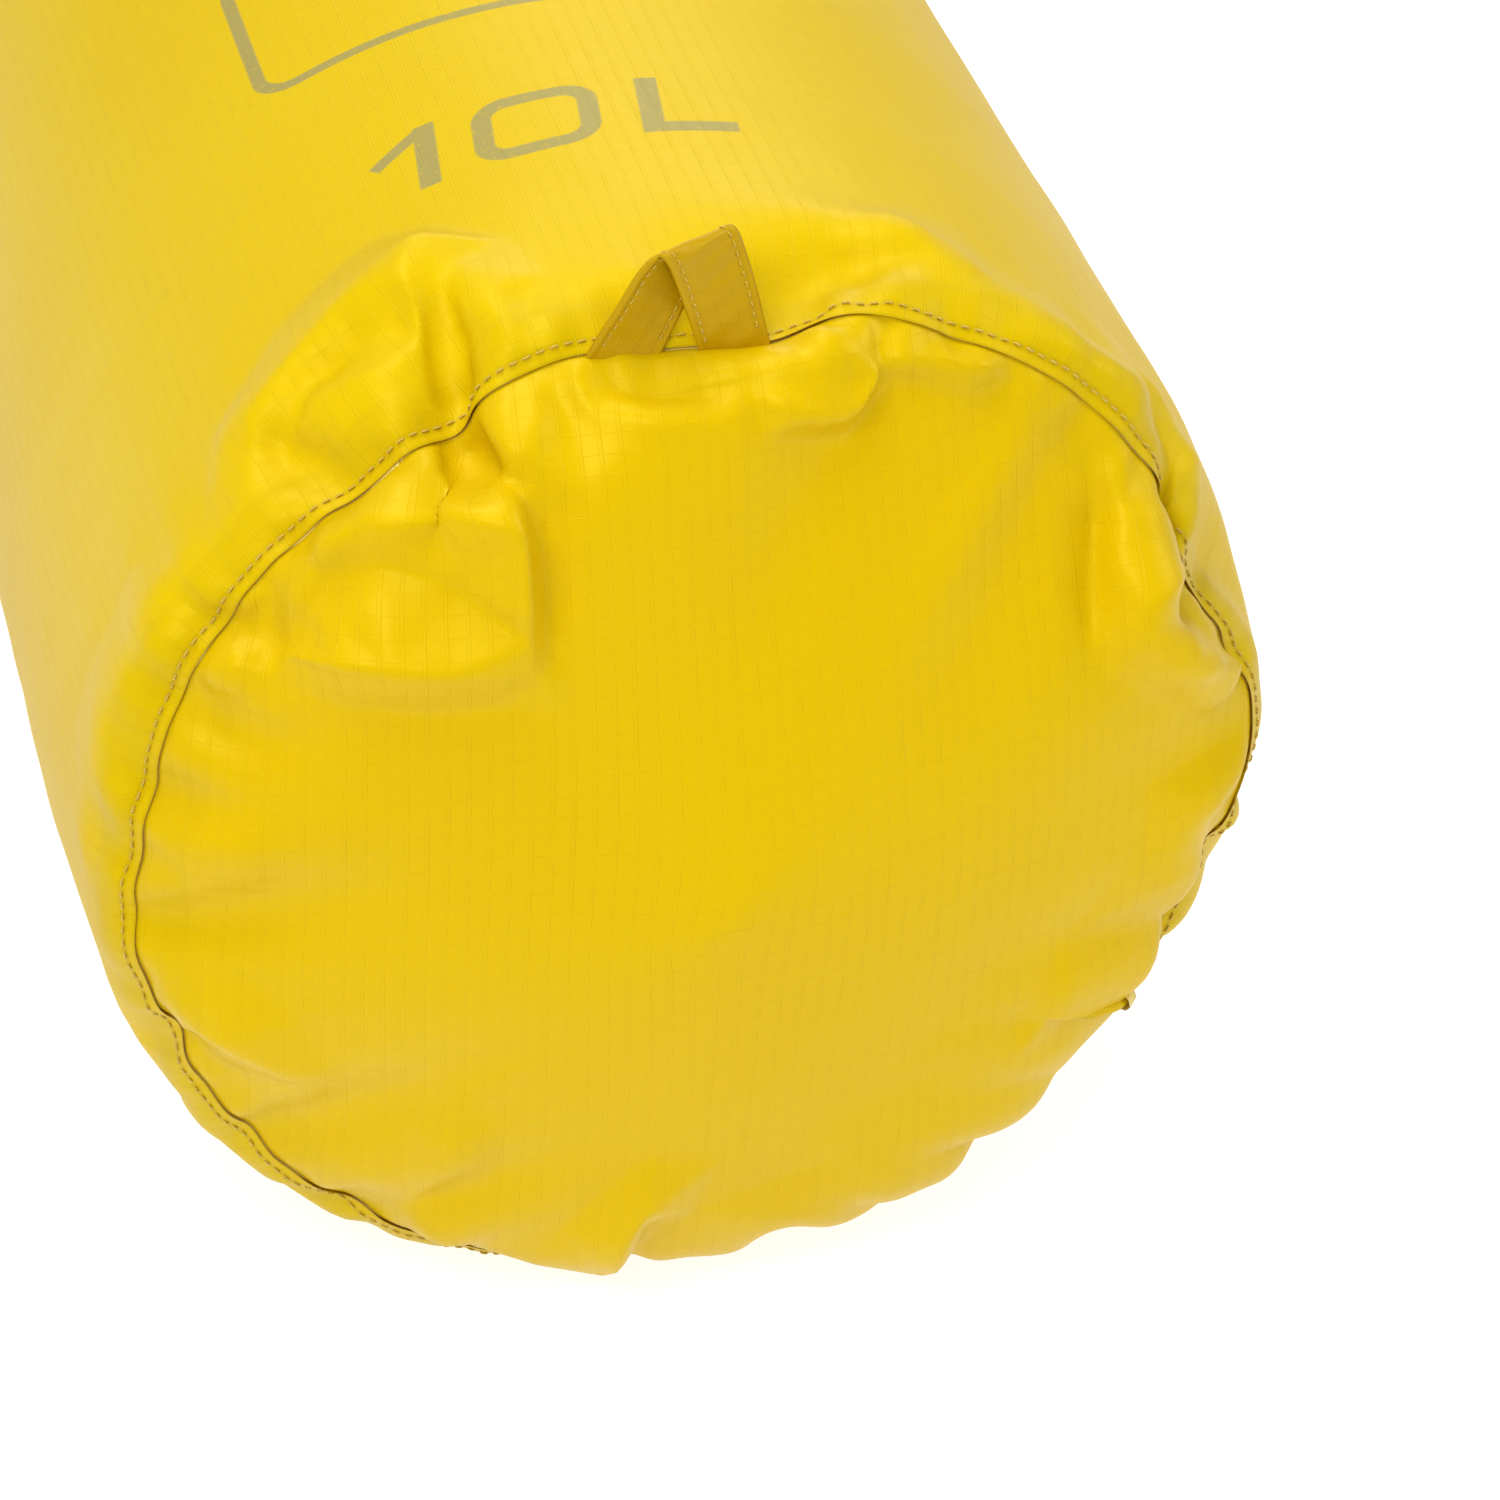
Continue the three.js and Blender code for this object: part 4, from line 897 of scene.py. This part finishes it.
NECK_ROWS = 40
al = np.arctan2(T[-1, :, 2] - AX, T[-1, :, 0])
al = np.where(T[-1, :, 2] < .6, np.arctan2(-np.sqrt(np.maximum(R0 ** 2 - T[-1, :, 0] ** 2, 0)), T[-1, :, 0]), al)
p = np.clip(np.abs(al) / pi, 0, 1)
upper = al > 0
neck = []
r2 = np.random.default_rng(21)
NK = [(r2.integers(9, 34), r2.uniform(0, 2 * pi), r2.normal(), r2.uniform(-.6, .6)) for _ in range(12)]
for i in range(1, NECK_ROWS + 1):
    f = i / NECK_ROWS
    y = END_Y + (ROLL_Y0 + 3.5 - END_Y) * f
    tt_ = min(1.0, (y - END_Y) / (ROLL_Y0 - .6 - END_Y))
    s = tt_ * tt_ * (3 - 2 * tt_)
    half = 2.3
    ax, bz = R0 + (RING_A + half - R0) * s, R0 + (RING_B + half - R0) * s
    right = THETA_R * s - .012 * s
    left = -pi - right
    th = right + (left - right) * p
    x, z = ax * np.cos(th), bz * np.sin(th)
    nx, nz = np.cos(th) / ax, np.sin(th) / bz
    l = np.hypot(nx, nz)
    up = right + (pi - 2 * right) * p
    ux, uz = ax * np.cos(up), bz * np.sin(up)
    slot = 2 * half + 34 * (1 - s) * np.sin(pi * p)
    edge_ = smoothstep(np.minimum(p, 1 - p) / .05)
    sink = smoothstep(tt_ * 1.02)
    xu = ux + (x - nx / l * slot * edge_ - ux) * sink
    zu = uz + (z - nz / l * slot * edge_ - uz) * sink
    x = np.where(upper, xu, x); z = np.where(upper, zu, z)
    # lengthwise pleats that deepen towards the roll and are pressed flat under it
    amp = 2.4 * math.sin(pi * min(1, tt_ ** .8)) ** 1.2 + .25 * tt_
    w = np.zeros(N)
    for k, ph, a, sl in NK:
        w += a * np.cos(k * al + ph + sl * tt_ * 2)
    w = w / math.sqrt(6)
    w = np.where(w > 0, w, .5 * w)
    rx, rz = np.cos(al), np.sin(al)
    x = x + rx * w * amp * .8; z = z + rz * w * amp * .8
    z = np.where(upper, z, np.maximum(z, -AX + .2))
    neck.append(np.stack([x, np.full(N, y), np.maximum(z, -AX + .2) + AX], -1))
neck = np.array(neck)
# start from the tube's own last row, and keep its floor side
first = T2[-1]
for i in range(len(neck)):
    k = math.exp(-((i + 1) / NECK_ROWS * 9) ** 1.2)
    base_ = np.stack([R0 * np.cos(al), np.full(N, END_Y), np.maximum(R0 * np.sin(al), -AX + .2) + AX], -1)
    neck[i] += (first - base_) * k
TN = np.concatenate([T2, neck])
neck_len = np.concatenate([[0], np.cumsum(np.linalg.norm(np.diff(np.concatenate([first[None], neck]), axis=0), axis=2).mean(1))])[1:]
TV = np.concatenate([t, TUBE_LEN + neck_len])


def grid_mesh(name, G, u, v, wrap=True, period=0.0, flip=False, cap=False):
    """A mesh from a (rows, cols, 3) grid with a UV in mm / 100. u is (cols,) or (rows, cols), v (rows,) or (rows, cols)."""
    R, C = G.shape[:2]
    uvx = np.broadcast_to(u, (R, C)) if np.ndim(u) == 1 else u
    uvy = np.broadcast_to(np.asarray(v)[:, None], (R, C)) if np.ndim(v) == 1 else v
    F = grid_faces(R, C, wrap, flip)
    me = bpy.data.meshes.new(name)
    me.from_pydata((G.reshape(-1, 3) / 1000).tolist(), [], F.tolist())
    idx = np.zeros(len(me.loops), np.int32)
    me.loops.foreach_get("vertex_index", idx)
    uvs = np.stack([uvx.reshape(-1)[idx], uvy.reshape(-1)[idx]], -1)
    if period:
        q = uvs.reshape(-1, 4, 2)
        far = q[:, :, 0].max(1) - q[:, :, 0].min(1) > period / 2
        fix = far[:, None] & (q[:, :, 0] < period / 2)
        q[:, :, 0][fix] += period
        uvs = q.reshape(-1, 2)
    layer = me.uv_layers.new(name="Weave")
    layer.data.foreach_set("uv", (uvs / 100).astype(np.float32).ravel())
    me.shade_smooth()
    me.update()
    return link(me, name)


def facing(o, probe_out):
    """Turns the faces so that they look outwards."""
    me = o.data
    n = np.zeros(len(me.polygons) * 3, np.float32); c = n.copy()
    me.polygons.foreach_get("normal", n); me.polygons.foreach_get("center", c)
    n = n.reshape(-1, 3); c = c.reshape(-1, 3)
    if (n * (c - np.array(probe_out) / 1000)).sum() < 0:
        me.flip_normals()


tube = grid_mesh("sack_tube", TN, U, TV, period=PERIOD)
facing(tube, (0, 0, AX))
tube.data.materials.append(mat_fabric)

# the round panel; its innermost ring closes on one point
center = D2[0].mean(0)
pv = np.concatenate([center[None], D2[1:].reshape(-1, 3)])
pf = grid_faces(len(rd) - 1, N).astype(int) + 1
tris = np.array([[0, 1 + (j + 1) % N, 1 + j] for j in range(N)])
me = bpy.data.meshes.new("base_panel")
me.from_pydata((pv / 1000).tolist(), [], [list(map(int, q)) for q in pf] + [list(map(int, q)) for q in tris])
idx = np.zeros(len(me.loops), np.int32); me.loops.foreach_get("vertex_index", idx)
fx = np.concatenate([[0], flat_x[1:].ravel()]); fz = np.concatenate([[0], flat_z[1:].ravel()])
layer = me.uv_layers.new(name="Weave")
layer.data.foreach_set("uv", (np.stack([fx[idx], fz[idx]], -1) / 100).astype(np.float32).ravel())
me.shade_smooth(); me.update()
panel = link(me, "base_panel")
facing(panel, (0, 0, AX))
panel.data.materials.append(mat_panel)
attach(panel, "sack")
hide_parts("bottom_panel")

# ------------------------------------------------------------------ inside the seam: allowance and tapes
def inner_strip(name, rows, off, mat, node, u, v, wrap=True):
    G = np.array(rows)
    o = grid_mesh(name, G, u, v, wrap=wrap, period=PERIOD if wrap else 0)
    o.data.materials.append(mat)
    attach(o, "sack"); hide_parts(node)
    return o


def row_at(G, coord, value):
    i = np.interp(value, coord, np.arange(len(coord)))
    a = int(min(i, len(coord) - 2)); f = i - a
    return G[a] * (1 - f) + G[a + 1] * f


nT2 = grid_normals(T2, "r")
nD2 = grid_normals(D2, "y")
ts = [.9, 2.5, 4.5, 6.5, 8.5]
inner_strip("base_seam_allowance", [row_at(T2, t, a) - row_at(nT2, t, a) * .45 for a in ts], .45, mat_inner, "bottom_seam_allowance", U, np.array(ts) + 400)
tsT = [9.6, 6.5, 3.5, 1.2]
rows = [row_at(T2, t, a) - row_at(nT2, t, a) * 1.0 for a in tsT]
rows += [row_at(D2, rd, RD - a) - row_at(nD2, rd, RD - a) * .9 for a in (1.5, 4.0, 7.0, 9.6)]
inner_strip("base_seam_tape", rows, 1.0, mat_tape, "bottom_seam_tape", U, np.linspace(0, 20, len(rows)))
# the lengthwise tape
cols = [int(round(a / PERIOD * N)) for a in (-9.5, -6.3, -3.2, 0, 3.2, 6.3, 9.5)]
sel = [i for i in range(len(t)) if 26 < t[i] < TUBE_LEN - 2]
G = np.stack([T2[sel][:, c % N] - nT2[sel][:, c % N] * .55 for c in cols], 1)
side_tape = grid_mesh("side_tape", G, np.linspace(0, 19, 7), t[sel], wrap=False)
side_tape.data.materials.append(mat_tape)
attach(side_tape, "sack"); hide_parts("side_seam_tape")

# ------------------------------------------------------------------ topstitching on the base seam and the lengthwise seam
def closed_line(Pl, Nl):
    Pc = np.concatenate([Pl, Pl[:1]]); Nc = np.concatenate([Nl, Nl[:1]])
    L = np.concatenate([[0], np.cumsum(np.linalg.norm(np.diff(Pc, axis=0), axis=1))])

    def at(s):
        s = np.mod(s, L[-1])
        q = np.stack([np.interp(s, L, Pc[:, k]) for k in range(3)], -1)
        m = np.stack([np.interp(s, L, Nc[:, k]) for k in range(3)], -1)
        return q, m / np.linalg.norm(m, axis=1, keepdims=True)
    return at, L[-1]


def open_line(Pl, Nl):
    L = np.concatenate([[0], np.cumsum(np.linalg.norm(np.diff(Pl, axis=0), axis=1))])

    def at(s):
        q = np.stack([np.interp(s, L, Pl[:, k]) for k in range(3)], -1)
        m = np.stack([np.interp(s, L, Nl[:, k]) for k in range(3)], -1)
        return q, m / np.linalg.norm(m, axis=1, keepdims=True)
    return at, L[-1]


at, length = closed_line(row_at(T2, t, 2.2), row_at(nT2, t, 2.2))
pitch = length / round(length / STITCH)
base_stitch = threads("base_topstitch", stitches_on(at, length, pitch, lift=.30, duty=.78, sag=.42), .21, mat_thread, "sack")
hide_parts("bottom_seam_topstitch")

c = int(round(2.6 / PERIOD * N))
sel = [i for i in range(len(t)) if 27 < t[i] < TUBE_LEN - 2]
at, length = open_line(T2[sel][:, c], nT2[sel][:, c])
side_stitch = threads("side_topstitch", stitches_on(at, length, 2.6, lift=.30, duty=.78, sag=.42), .21, mat_thread, "sack")
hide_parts("side_seam_topstitch")

# ------------------------------------------------------------------ haul loop
top = np.abs((mat_angle - 90 * DEG + pi) % (2 * pi) - pi) < 30 * DEG
seam_row = T2[0][top]
order = np.argsort(seam_row[:, 0])
seam_row = seam_row[order]


def seam_at(x):
    return np.interp(x, seam_row[:, 0], seam_row[:, 1]), np.interp(x, seam_row[:, 0], seam_row[:, 2])


LOOP_TOP = 196.0


def strap(tq, uq):
    k = 2 * tq - 1
    e = .24
    h = (1 - np.sqrt(k * k + e * e) + (math.sqrt(1 + e * e) - 1)) / (math.sqrt(1 + e * e) - e)
    front = -16.5 + 18.7 * tq + 1.9 * h
    back = -3.7 + 17.9 * tq + 3.3 * h
    x = front + (back - front) * uq
    sy, sz = seam_at(x)
    sy = sy - .25
    k2 = np.clip(1 - h, 0, 1)
    # the legs swell a little outwards, as a folded strap does
    y = SEAM_Y + (sy - SEAM_Y) * k2 + (-4.2 + 8.4 * uq) * h - .5 * np.sin(pi * np.clip(h, 0, 1)) * (1 - uq)
    z = (sz - .9) * k2 + LOOP_TOP * h
    return np.stack([x, y, z], -1)


def strap_frame(tq, uq):
    d = 2e-3
    a = strap(np.minimum(1, tq + d), uq) - strap(np.maximum(0, tq - d), uq)
    b = strap(tq, np.minimum(1, uq + d)) - strap(tq, np.maximum(0, uq - d))
    n = np.cross(a, b)
    n /= np.linalg.norm(n, axis=-1, keepdims=True)
    return strap(tq, uq), n


st, su = 90, 30
tq = np.linspace(0, 1, st)
prof = []  # closed outline across the strap: (u, w)
us = np.linspace(.015, .985, su)
rim = .42


def strap_half(uq):
    """Half thickness across the strap: rounded folded edges, dips at the stitch rows."""
    e = np.minimum(uq, 1 - uq)
    return rim * np.sqrt(np.clip(1 - (1 - np.clip(e / .03, 0, 1)) ** 2, .0, 1)) - .12 * np.exp(-((e - .135) / .03) ** 2) + .05 * np.exp(-((e - .07) / .03) ** 2)


upath = np.concatenate([us, us[::-1]])
wpath = np.concatenate([strap_half(us), -strap_half(us)[::-1]])
TT, UU = np.meshgrid(tq, upath, indexing="ij")
pt, nn = strap_frame(TT, UU)
ripple = .10 * np.sin(TT * 61 + UU * 9) * np.sin(UU * pi) + .12 * np.sin(TT * 23 + 2 * UU) * np.sin(TT * pi)
G = pt + nn * (np.broadcast_to(wpath, TT.shape) + ripple)[..., None]
loop_len = np.concatenate([[0], np.cumsum(np.linalg.norm(np.diff(strap(tq, np.full(st, .5)), axis=0), axis=1))])
loop = grid_mesh("haul_strap", G, np.concatenate([us, 2 - us[::-1]]) * 12.8, loop_len, wrap=True)
loop.data.materials.append(mat_loop)
facing(loop, (0, -174, 195))
me = loop.data
# outward is away from the strap's own middle surface
cen = pt[:, :].mean(1)
n0 = me.polygons[su // 2 + (st // 2) * len(upath)]
want = nn[st // 2, su // 2]
if Vector(want).dot(n0.normal) < 0:
    me.flip_normals()
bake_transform(loop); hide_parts("haul_loop_strap")

for nm, uv_, node in (("haul_stitch_front", .135, "haul_loop_stitch_front"), ("haul_stitch_back", .865, "haul_loop_stitch_back")):
    segs = []
    for sgn in (1, -1):
        tq2 = np.linspace(.03, .97, 300)
        q, m = strap_frame(tq2, np.full(300, uv_))
        rp = .10 * np.sin(tq2 * 61 + uv_ * 9) * np.sin(uv_ * pi) + .12 * np.sin(tq2 * 23 + 2 * uv_) * np.sin(tq2 * pi)
        q = q + m * (sgn * strap_half(np.full(300, uv_)) + rp)[:, None]
        at, length = open_line(q, m * sgn)
        segs += stitches_on(at, length, 1.75, lift=.20, duty=.76, start=.4 + (.85 if sgn < 0 else 0), sag=.34)
    o = threads(nm, segs, .17, mat_thread, None)
    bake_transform(o)
    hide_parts(node)

# ------------------------------------------------------------------ rolled mouth
def ring_point(pp, off):
    th = THETA_R + (THETA_L - THETA_R) * pp
    x, z = RING_A * np.cos(th), RING_B * np.sin(th)
    nx, nz = np.cos(th) / RING_A, np.sin(th) / RING_B
    l = np.hypot(nx, nz)
    return x + nx / l * off, z + nz / l * off


def obround_at(ht, hw, f):
    """Point at fraction f of the way round a flat-sided oval of half thickness ht and half width hw."""
    flat = 2 * (hw - ht); arc = pi * ht
    L = 2 * flat + 2 * arc
    s = (f % 1.0) * L
    if s < flat:
        return ht, -(hw - ht) + s
    s -= flat
    if s < arc:
        a = s / ht
        return ht * math.cos(a), (hw - ht) + ht * math.sin(a)
    s -= arc
    if s < flat:
        return -ht, (hw - ht) - s
    a = (s - flat) / ht
    return -ht * math.cos(a), -(hw - ht) - ht * math.sin(a)


turns, per = 3, 44
prof = []
for i in range(turns * per + 1):
    k = i / per
    prof.append(obround_at(3.45 - .80 * k, 13.95 - .75 * k, k + .5))
prof = np.array(prof)
steps = 300
pp = np.linspace(0, 1, steps)
Gr = np.zeros((steps, len(prof), 3))
kk = np.arange(len(prof)) / per
for i, p_ in enumerate(pp):
    tipness = math.exp(-min(p_, 1 - p_) * 40)
    s_mm = p_ * 307
    wr = .16 * np.sin(s_mm * 2 * pi / 7.3 + 2.1 * np.sin(s_mm / 19) + kk * 2.2) + .14 * np.sin(s_mm * 2 * pi / 4.1 + kk * 5 + math.sin(s_mm / 11) * 2)
    pull = .30 * np.sin(s_mm * 2 * pi / 31 + prof[:, 1] * .25)
    off = prof[:, 0] * (1 - .04 * tipness) + wr * .45 * np.sign(prof[:, 0]) * (.25 + np.abs(prof[:, 1]) / 18)
    yy = prof[:, 1] * (1 - .01 * tipness) + pull * .5
    off = np.clip(off, -3.9, 3.9)
    yy = np.clip(yy, -14.2, 14.2)
    x, z = ring_point(p_, off)
    Gr[i, :, 0] = x; Gr[i, :, 1] = BUCKLE_Y + yy; Gr[i, :, 2] = z + AX
prof_len = np.concatenate([[0], np.cumsum(np.hypot(*np.diff(prof, axis=0).T))])
roll = grid_mesh("roll_fabric", Gr, prof_len, pp * 307, wrap=False)
roll.data.materials.append(mat_roll)
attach(roll, "roll_top"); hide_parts("rolled_mouth")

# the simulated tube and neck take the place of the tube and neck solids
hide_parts("body_tube", "neck")
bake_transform(tube)

for nm in ("stiffener_inner", "stiffener_outer"):
    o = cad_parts[nm]
    o.data.materials.clear(); o.data.materials.append(mat_strip)

# ------------------------------------------------------------------ buckle webbing
def ribbon(name, path, width, thick, y0, mat, round_=.4):
    """A webbing strap: path is (x, z) points, the weave runs along it."""
    path = np.asarray(path, float)
    d = np.gradient(path, axis=0); d /= np.linalg.norm(d, axis=1, keepdims=True)
    nrm = np.stack([-d[:, 1], d[:, 0]], -1)
    L = np.concatenate([[0], np.cumsum(np.linalg.norm(np.diff(path, axis=0), axis=1))])
    hw, ht = width / 2, thick / 2
    sec = []
    for cx, cy, a0 in ((hw - round_, ht - round_, 0), (-(hw - round_), ht - round_, 90), (-(hw - round_), -(ht - round_), 180), (hw - round_, -(ht - round_), 270)):
        for a in (0, 30, 60, 90):
            sec.append((cx + round_ * math.cos((a0 + a) * DEG), cy + round_ * math.sin((a0 + a) * DEG)))
        if a0 in (0, 180):
            s = 1 if a0 == 0 else -1
            for k in range(1, 8):
                sec.append((s * (hw - round_) * (1 - k / 4), s * ht))
    sec = np.array(sec)
    G = np.zeros((len(path), len(sec), 3))
    wave = .05 * np.sin(L * 2 * pi / 1.1)
    for i in range(len(path)):
        hgt = sec[:, 1] * (1 + wave[i])
        G[i, :, 0] = path[i, 0] + nrm[i, 0] * hgt
        G[i, :, 1] = y0 + sec[:, 0]
        G[i, :, 2] = path[i, 1] + nrm[i, 1] * hgt
    v = np.broadcast_to(sec[:, 0], (len(path), len(sec)))
    u = np.broadcast_to(L[:, None], (len(path), len(sec)))
    o = grid_mesh(name, G, u, v)
    # close the two cut ends
    bm_faces = []
    n = len(sec); last = (len(path) - 1) * n
    import bmesh
    bm = bmesh.new(); bm.from_mesh(o.data); bm.verts.ensure_lookup_table()
    bm.faces.new([bm.verts[j] for j in range(n)]); bm.faces.new([bm.verts[last + j] for j in range(n)][::-1])
    bmesh.ops.recalc_face_normals(bm, faces=bm.faces)
    bm.to_mesh(o.data); bm.free()
    o.data.shade_smooth()
    o.data.materials.append(mat)
    return o


def hairpin_path(tip_x, tip_z, bar_x, bar_z, tail):
    """Middle line of a tab: from the roll, over the bar and back. tail is a unit vector that it follows on into the roll."""
    bar = np.array([bar_x, bar_z]); end = np.array([tip_x, tip_z])
    d = end - bar; d /= np.linalg.norm(d)
    n = np.array([-d[1], d[0]])
    r = BAR_R + .45 + WEB_T / 2
    flat = .15 + WEB_T / 2
    base = math.atan2(n[1], n[0])
    out = [end + n * flat + tail * 4.0]
    out += [end + n * flat + (bar + n * r - end - n * flat) * f for f in np.linspace(0, 1, 26)[:-1]]
    out += [bar + r * np.array([math.cos(base + a), math.sin(base + a)]) for a in np.linspace(0, pi, 25)]
    out += [end - n * flat + (bar - n * r - end + n * flat) * f for f in np.linspace(1, 0, 26)[1:]]
    out += [end - n * flat + tail * 4.0]
    out = np.array(out)
    for _ in range(3):
        out[1:-1] = .5 * out[1:-1] + .25 * (out[2:] + out[:-2])
    return out


TIP_Z = float(ring_point(np.array(0.0), np.array(0.0))[1]) + AX + 1.2
q1 = np.array(ring_point(np.array(0.0), 0.0)); q2 = np.array(ring_point(np.array(.02), 0.0))
tail_r = (q2 - q1) / np.linalg.norm(q2 - q1)
tail_l = tail_r * np.array([-1, 1])
socket_tab = ribbon("socket_webbing", hairpin_path(TIP_X - .4, TIP_Z, SOCKET_BAR_X, BUCKLE_Z, tail_r), WEB_W, WEB_T, BUCKLE_Y, mat_web)
plug_tab = ribbon("plug_webbing", hairpin_path(-TIP_X + .4, TIP_Z, PLUG_BAR_X, BUCKLE_Z, tail_l), WEB_W, WEB_T, BUCKLE_Y, mat_web)
for o, node in ((socket_tab, "socket_tab"), (plug_tab, "plug_tab")):
    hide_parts(node)
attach(socket_tab, "roll_top")


def bartack(name, tip_x, bar_x, f, node):
    """A dense zigzag across the tab's upper ply, 1.6 mm wide."""
    bar = np.array([bar_x, BUCKLE_Z]); end = np.array([tip_x, TIP_Z])
    mid = bar + (end - bar) * f
    slope = math.atan2(end[1] - bar[1], end[0] - bar[0])
    up = slope + pi if abs(slope) > pi / 2 else slope
    ply = (BAR_R + .45 + WEB_T) * (1 - f) + (WEB_T + .15) * f
    ex = np.array([math.cos(up), 0, math.sin(up)]); ey = np.array([0, 1.0, 0]); ez = np.array([-math.sin(up), 0, math.cos(up)])
    base = np.array([mid[0], BUCKLE_Y, mid[1]]) + ez * (ply + .12)
    segs = []
    n = 34
    for i in range(n):
        y0 = -6 + 12 * i / n; y1 = -6 + 12 * (i + 1) / n
        s = 1 if i % 2 else -1
        k = np.linspace(-1, 1, 5)
        path = base + np.outer(k * s * .8, ex) + np.outer(y0 + (y1 - y0) * (k + 1) / 2, ey) + np.outer(.16 * (1 - k ** 4) - .1, ez)
        segs.append((path, np.broadcast_to(ez, path.shape)))
    # two runs under the zigzag
    for s in (-.45, .45):
        k = np.linspace(-6, 6, 9)
        path = base + ex * s + np.outer(k, ey) - ez * .06
        segs.append((path, np.broadcast_to(ez, path.shape)))
    o = threads(name, segs, .17, mat_tack, "roll_top" if name == "socket_tack" else None)
    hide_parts(node)
    return o


bartack("socket_tack", TIP_X - .4, SOCKET_BAR_X, .62, "socket_tab_bartack")
plug_tack = bartack("plug_tack", -TIP_X + .4, PLUG_BAR_X, .80, "plug_tab_bartack")
# the plug's tab and its bartack are attached to no body; their transforms are baked in
for o in (plug_tab, plug_tack):
    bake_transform(o)

# ------------------------------------------------------------------ buckle: the moulded solids with softened edges
for nm in ("buckle_socket", "buckle_plug", "plug_arm_front", "plug_arm_back"):
    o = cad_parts[nm]
    o.data.materials.clear(); o.data.materials.append(mat_plastic)
    b = o.modifiers.new("Rims", "BEVEL")
    b.width = .00028; b.segments = 2; b.limit_method = "ANGLE"; b.angle_limit = 35 * DEG
    b.harden_normals = False

# ------------------------------------------------------------------ floor, light, camera
floor_me = bpy.data.meshes.new("floor")
S = 3.0
floor_me.from_pydata([(-S, -S, -.0004), (S, -S, -.0004), (S, S, -.0004), (-S, S, -.0004)], [], [(0, 1, 2, 3)])
floor = link(floor_me, "floor")
m, nt, bs, out = nodes_of("studio_floor")
n = Net(nt)
bs.inputs["Base Color"].default_value = (.36, .36, .36, 1)
bs.inputs["Roughness"].default_value = .8
bs.inputs["Emission Color"].default_value = (1, 1, 1, 1)
bs.inputs["Emission Strength"].default_value = .84
floor.data.materials.append(m)

world = bpy.data.worlds.new("studio")
bpy.context.scene.world = world
world.use_nodes = True
world.node_tree.nodes["Background"].inputs[0].default_value = (1, 1, 1, 1)
world.node_tree.nodes["Background"].inputs[1].default_value = .36


def area(name, loc, target, size, power, color=(1, 1, 1)):
    l = bpy.data.lights.new(name, "AREA")
    l.shape = "RECTANGLE"; l.size, l.size_y = size
    l.energy = power; l.color = color
    o = bpy.data.objects.new(name, l)
    bpy.context.scene.collection.objects.link(o)
    o.location = loc
    o.rotation_euler = (Vector(target) - Vector(loc)).to_track_quat("-Z", "Y").to_euler()
    return o


area("softbox_top", (-.25, -.05, 1.30), (0, -.12, .1), (1.0, .5), 10)
area("softbox_front", (-.60, -1.05, 1.02), (0, -.15, .1), (.9, .42), 10.5)
area("softbox_back", (.45, 1.15, .95), (0, 0, .1), (.9, .4), 3.5)
area("softbox_right", (1.15, -.35, .75), (0, -.08, .1), (.8, .5), 5)

view_r = Vector((.979, -.2085, 0)).normalized()
view_u = Vector((.1035, .489, .865)).normalized()
back = view_r.cross(view_u)
cam = bpy.data.cameras.new("camera")
cam.lens = 180; cam.sensor_width = 36; cam.clip_end = 20
co = bpy.data.objects.new("camera", cam)
bpy.context.scene.collection.objects.link(co)
tgt = Vector((0, -.174, .0915)) + view_r * .01067 + view_u * .01067
co.matrix_world = Matrix.Translation(tgt + back * 1.232) @ Matrix((view_r, view_u, back)).transposed().to_4x4()
bpy.context.scene.camera = co
bpy.context.scene.view_settings.view_transform = "Standard"
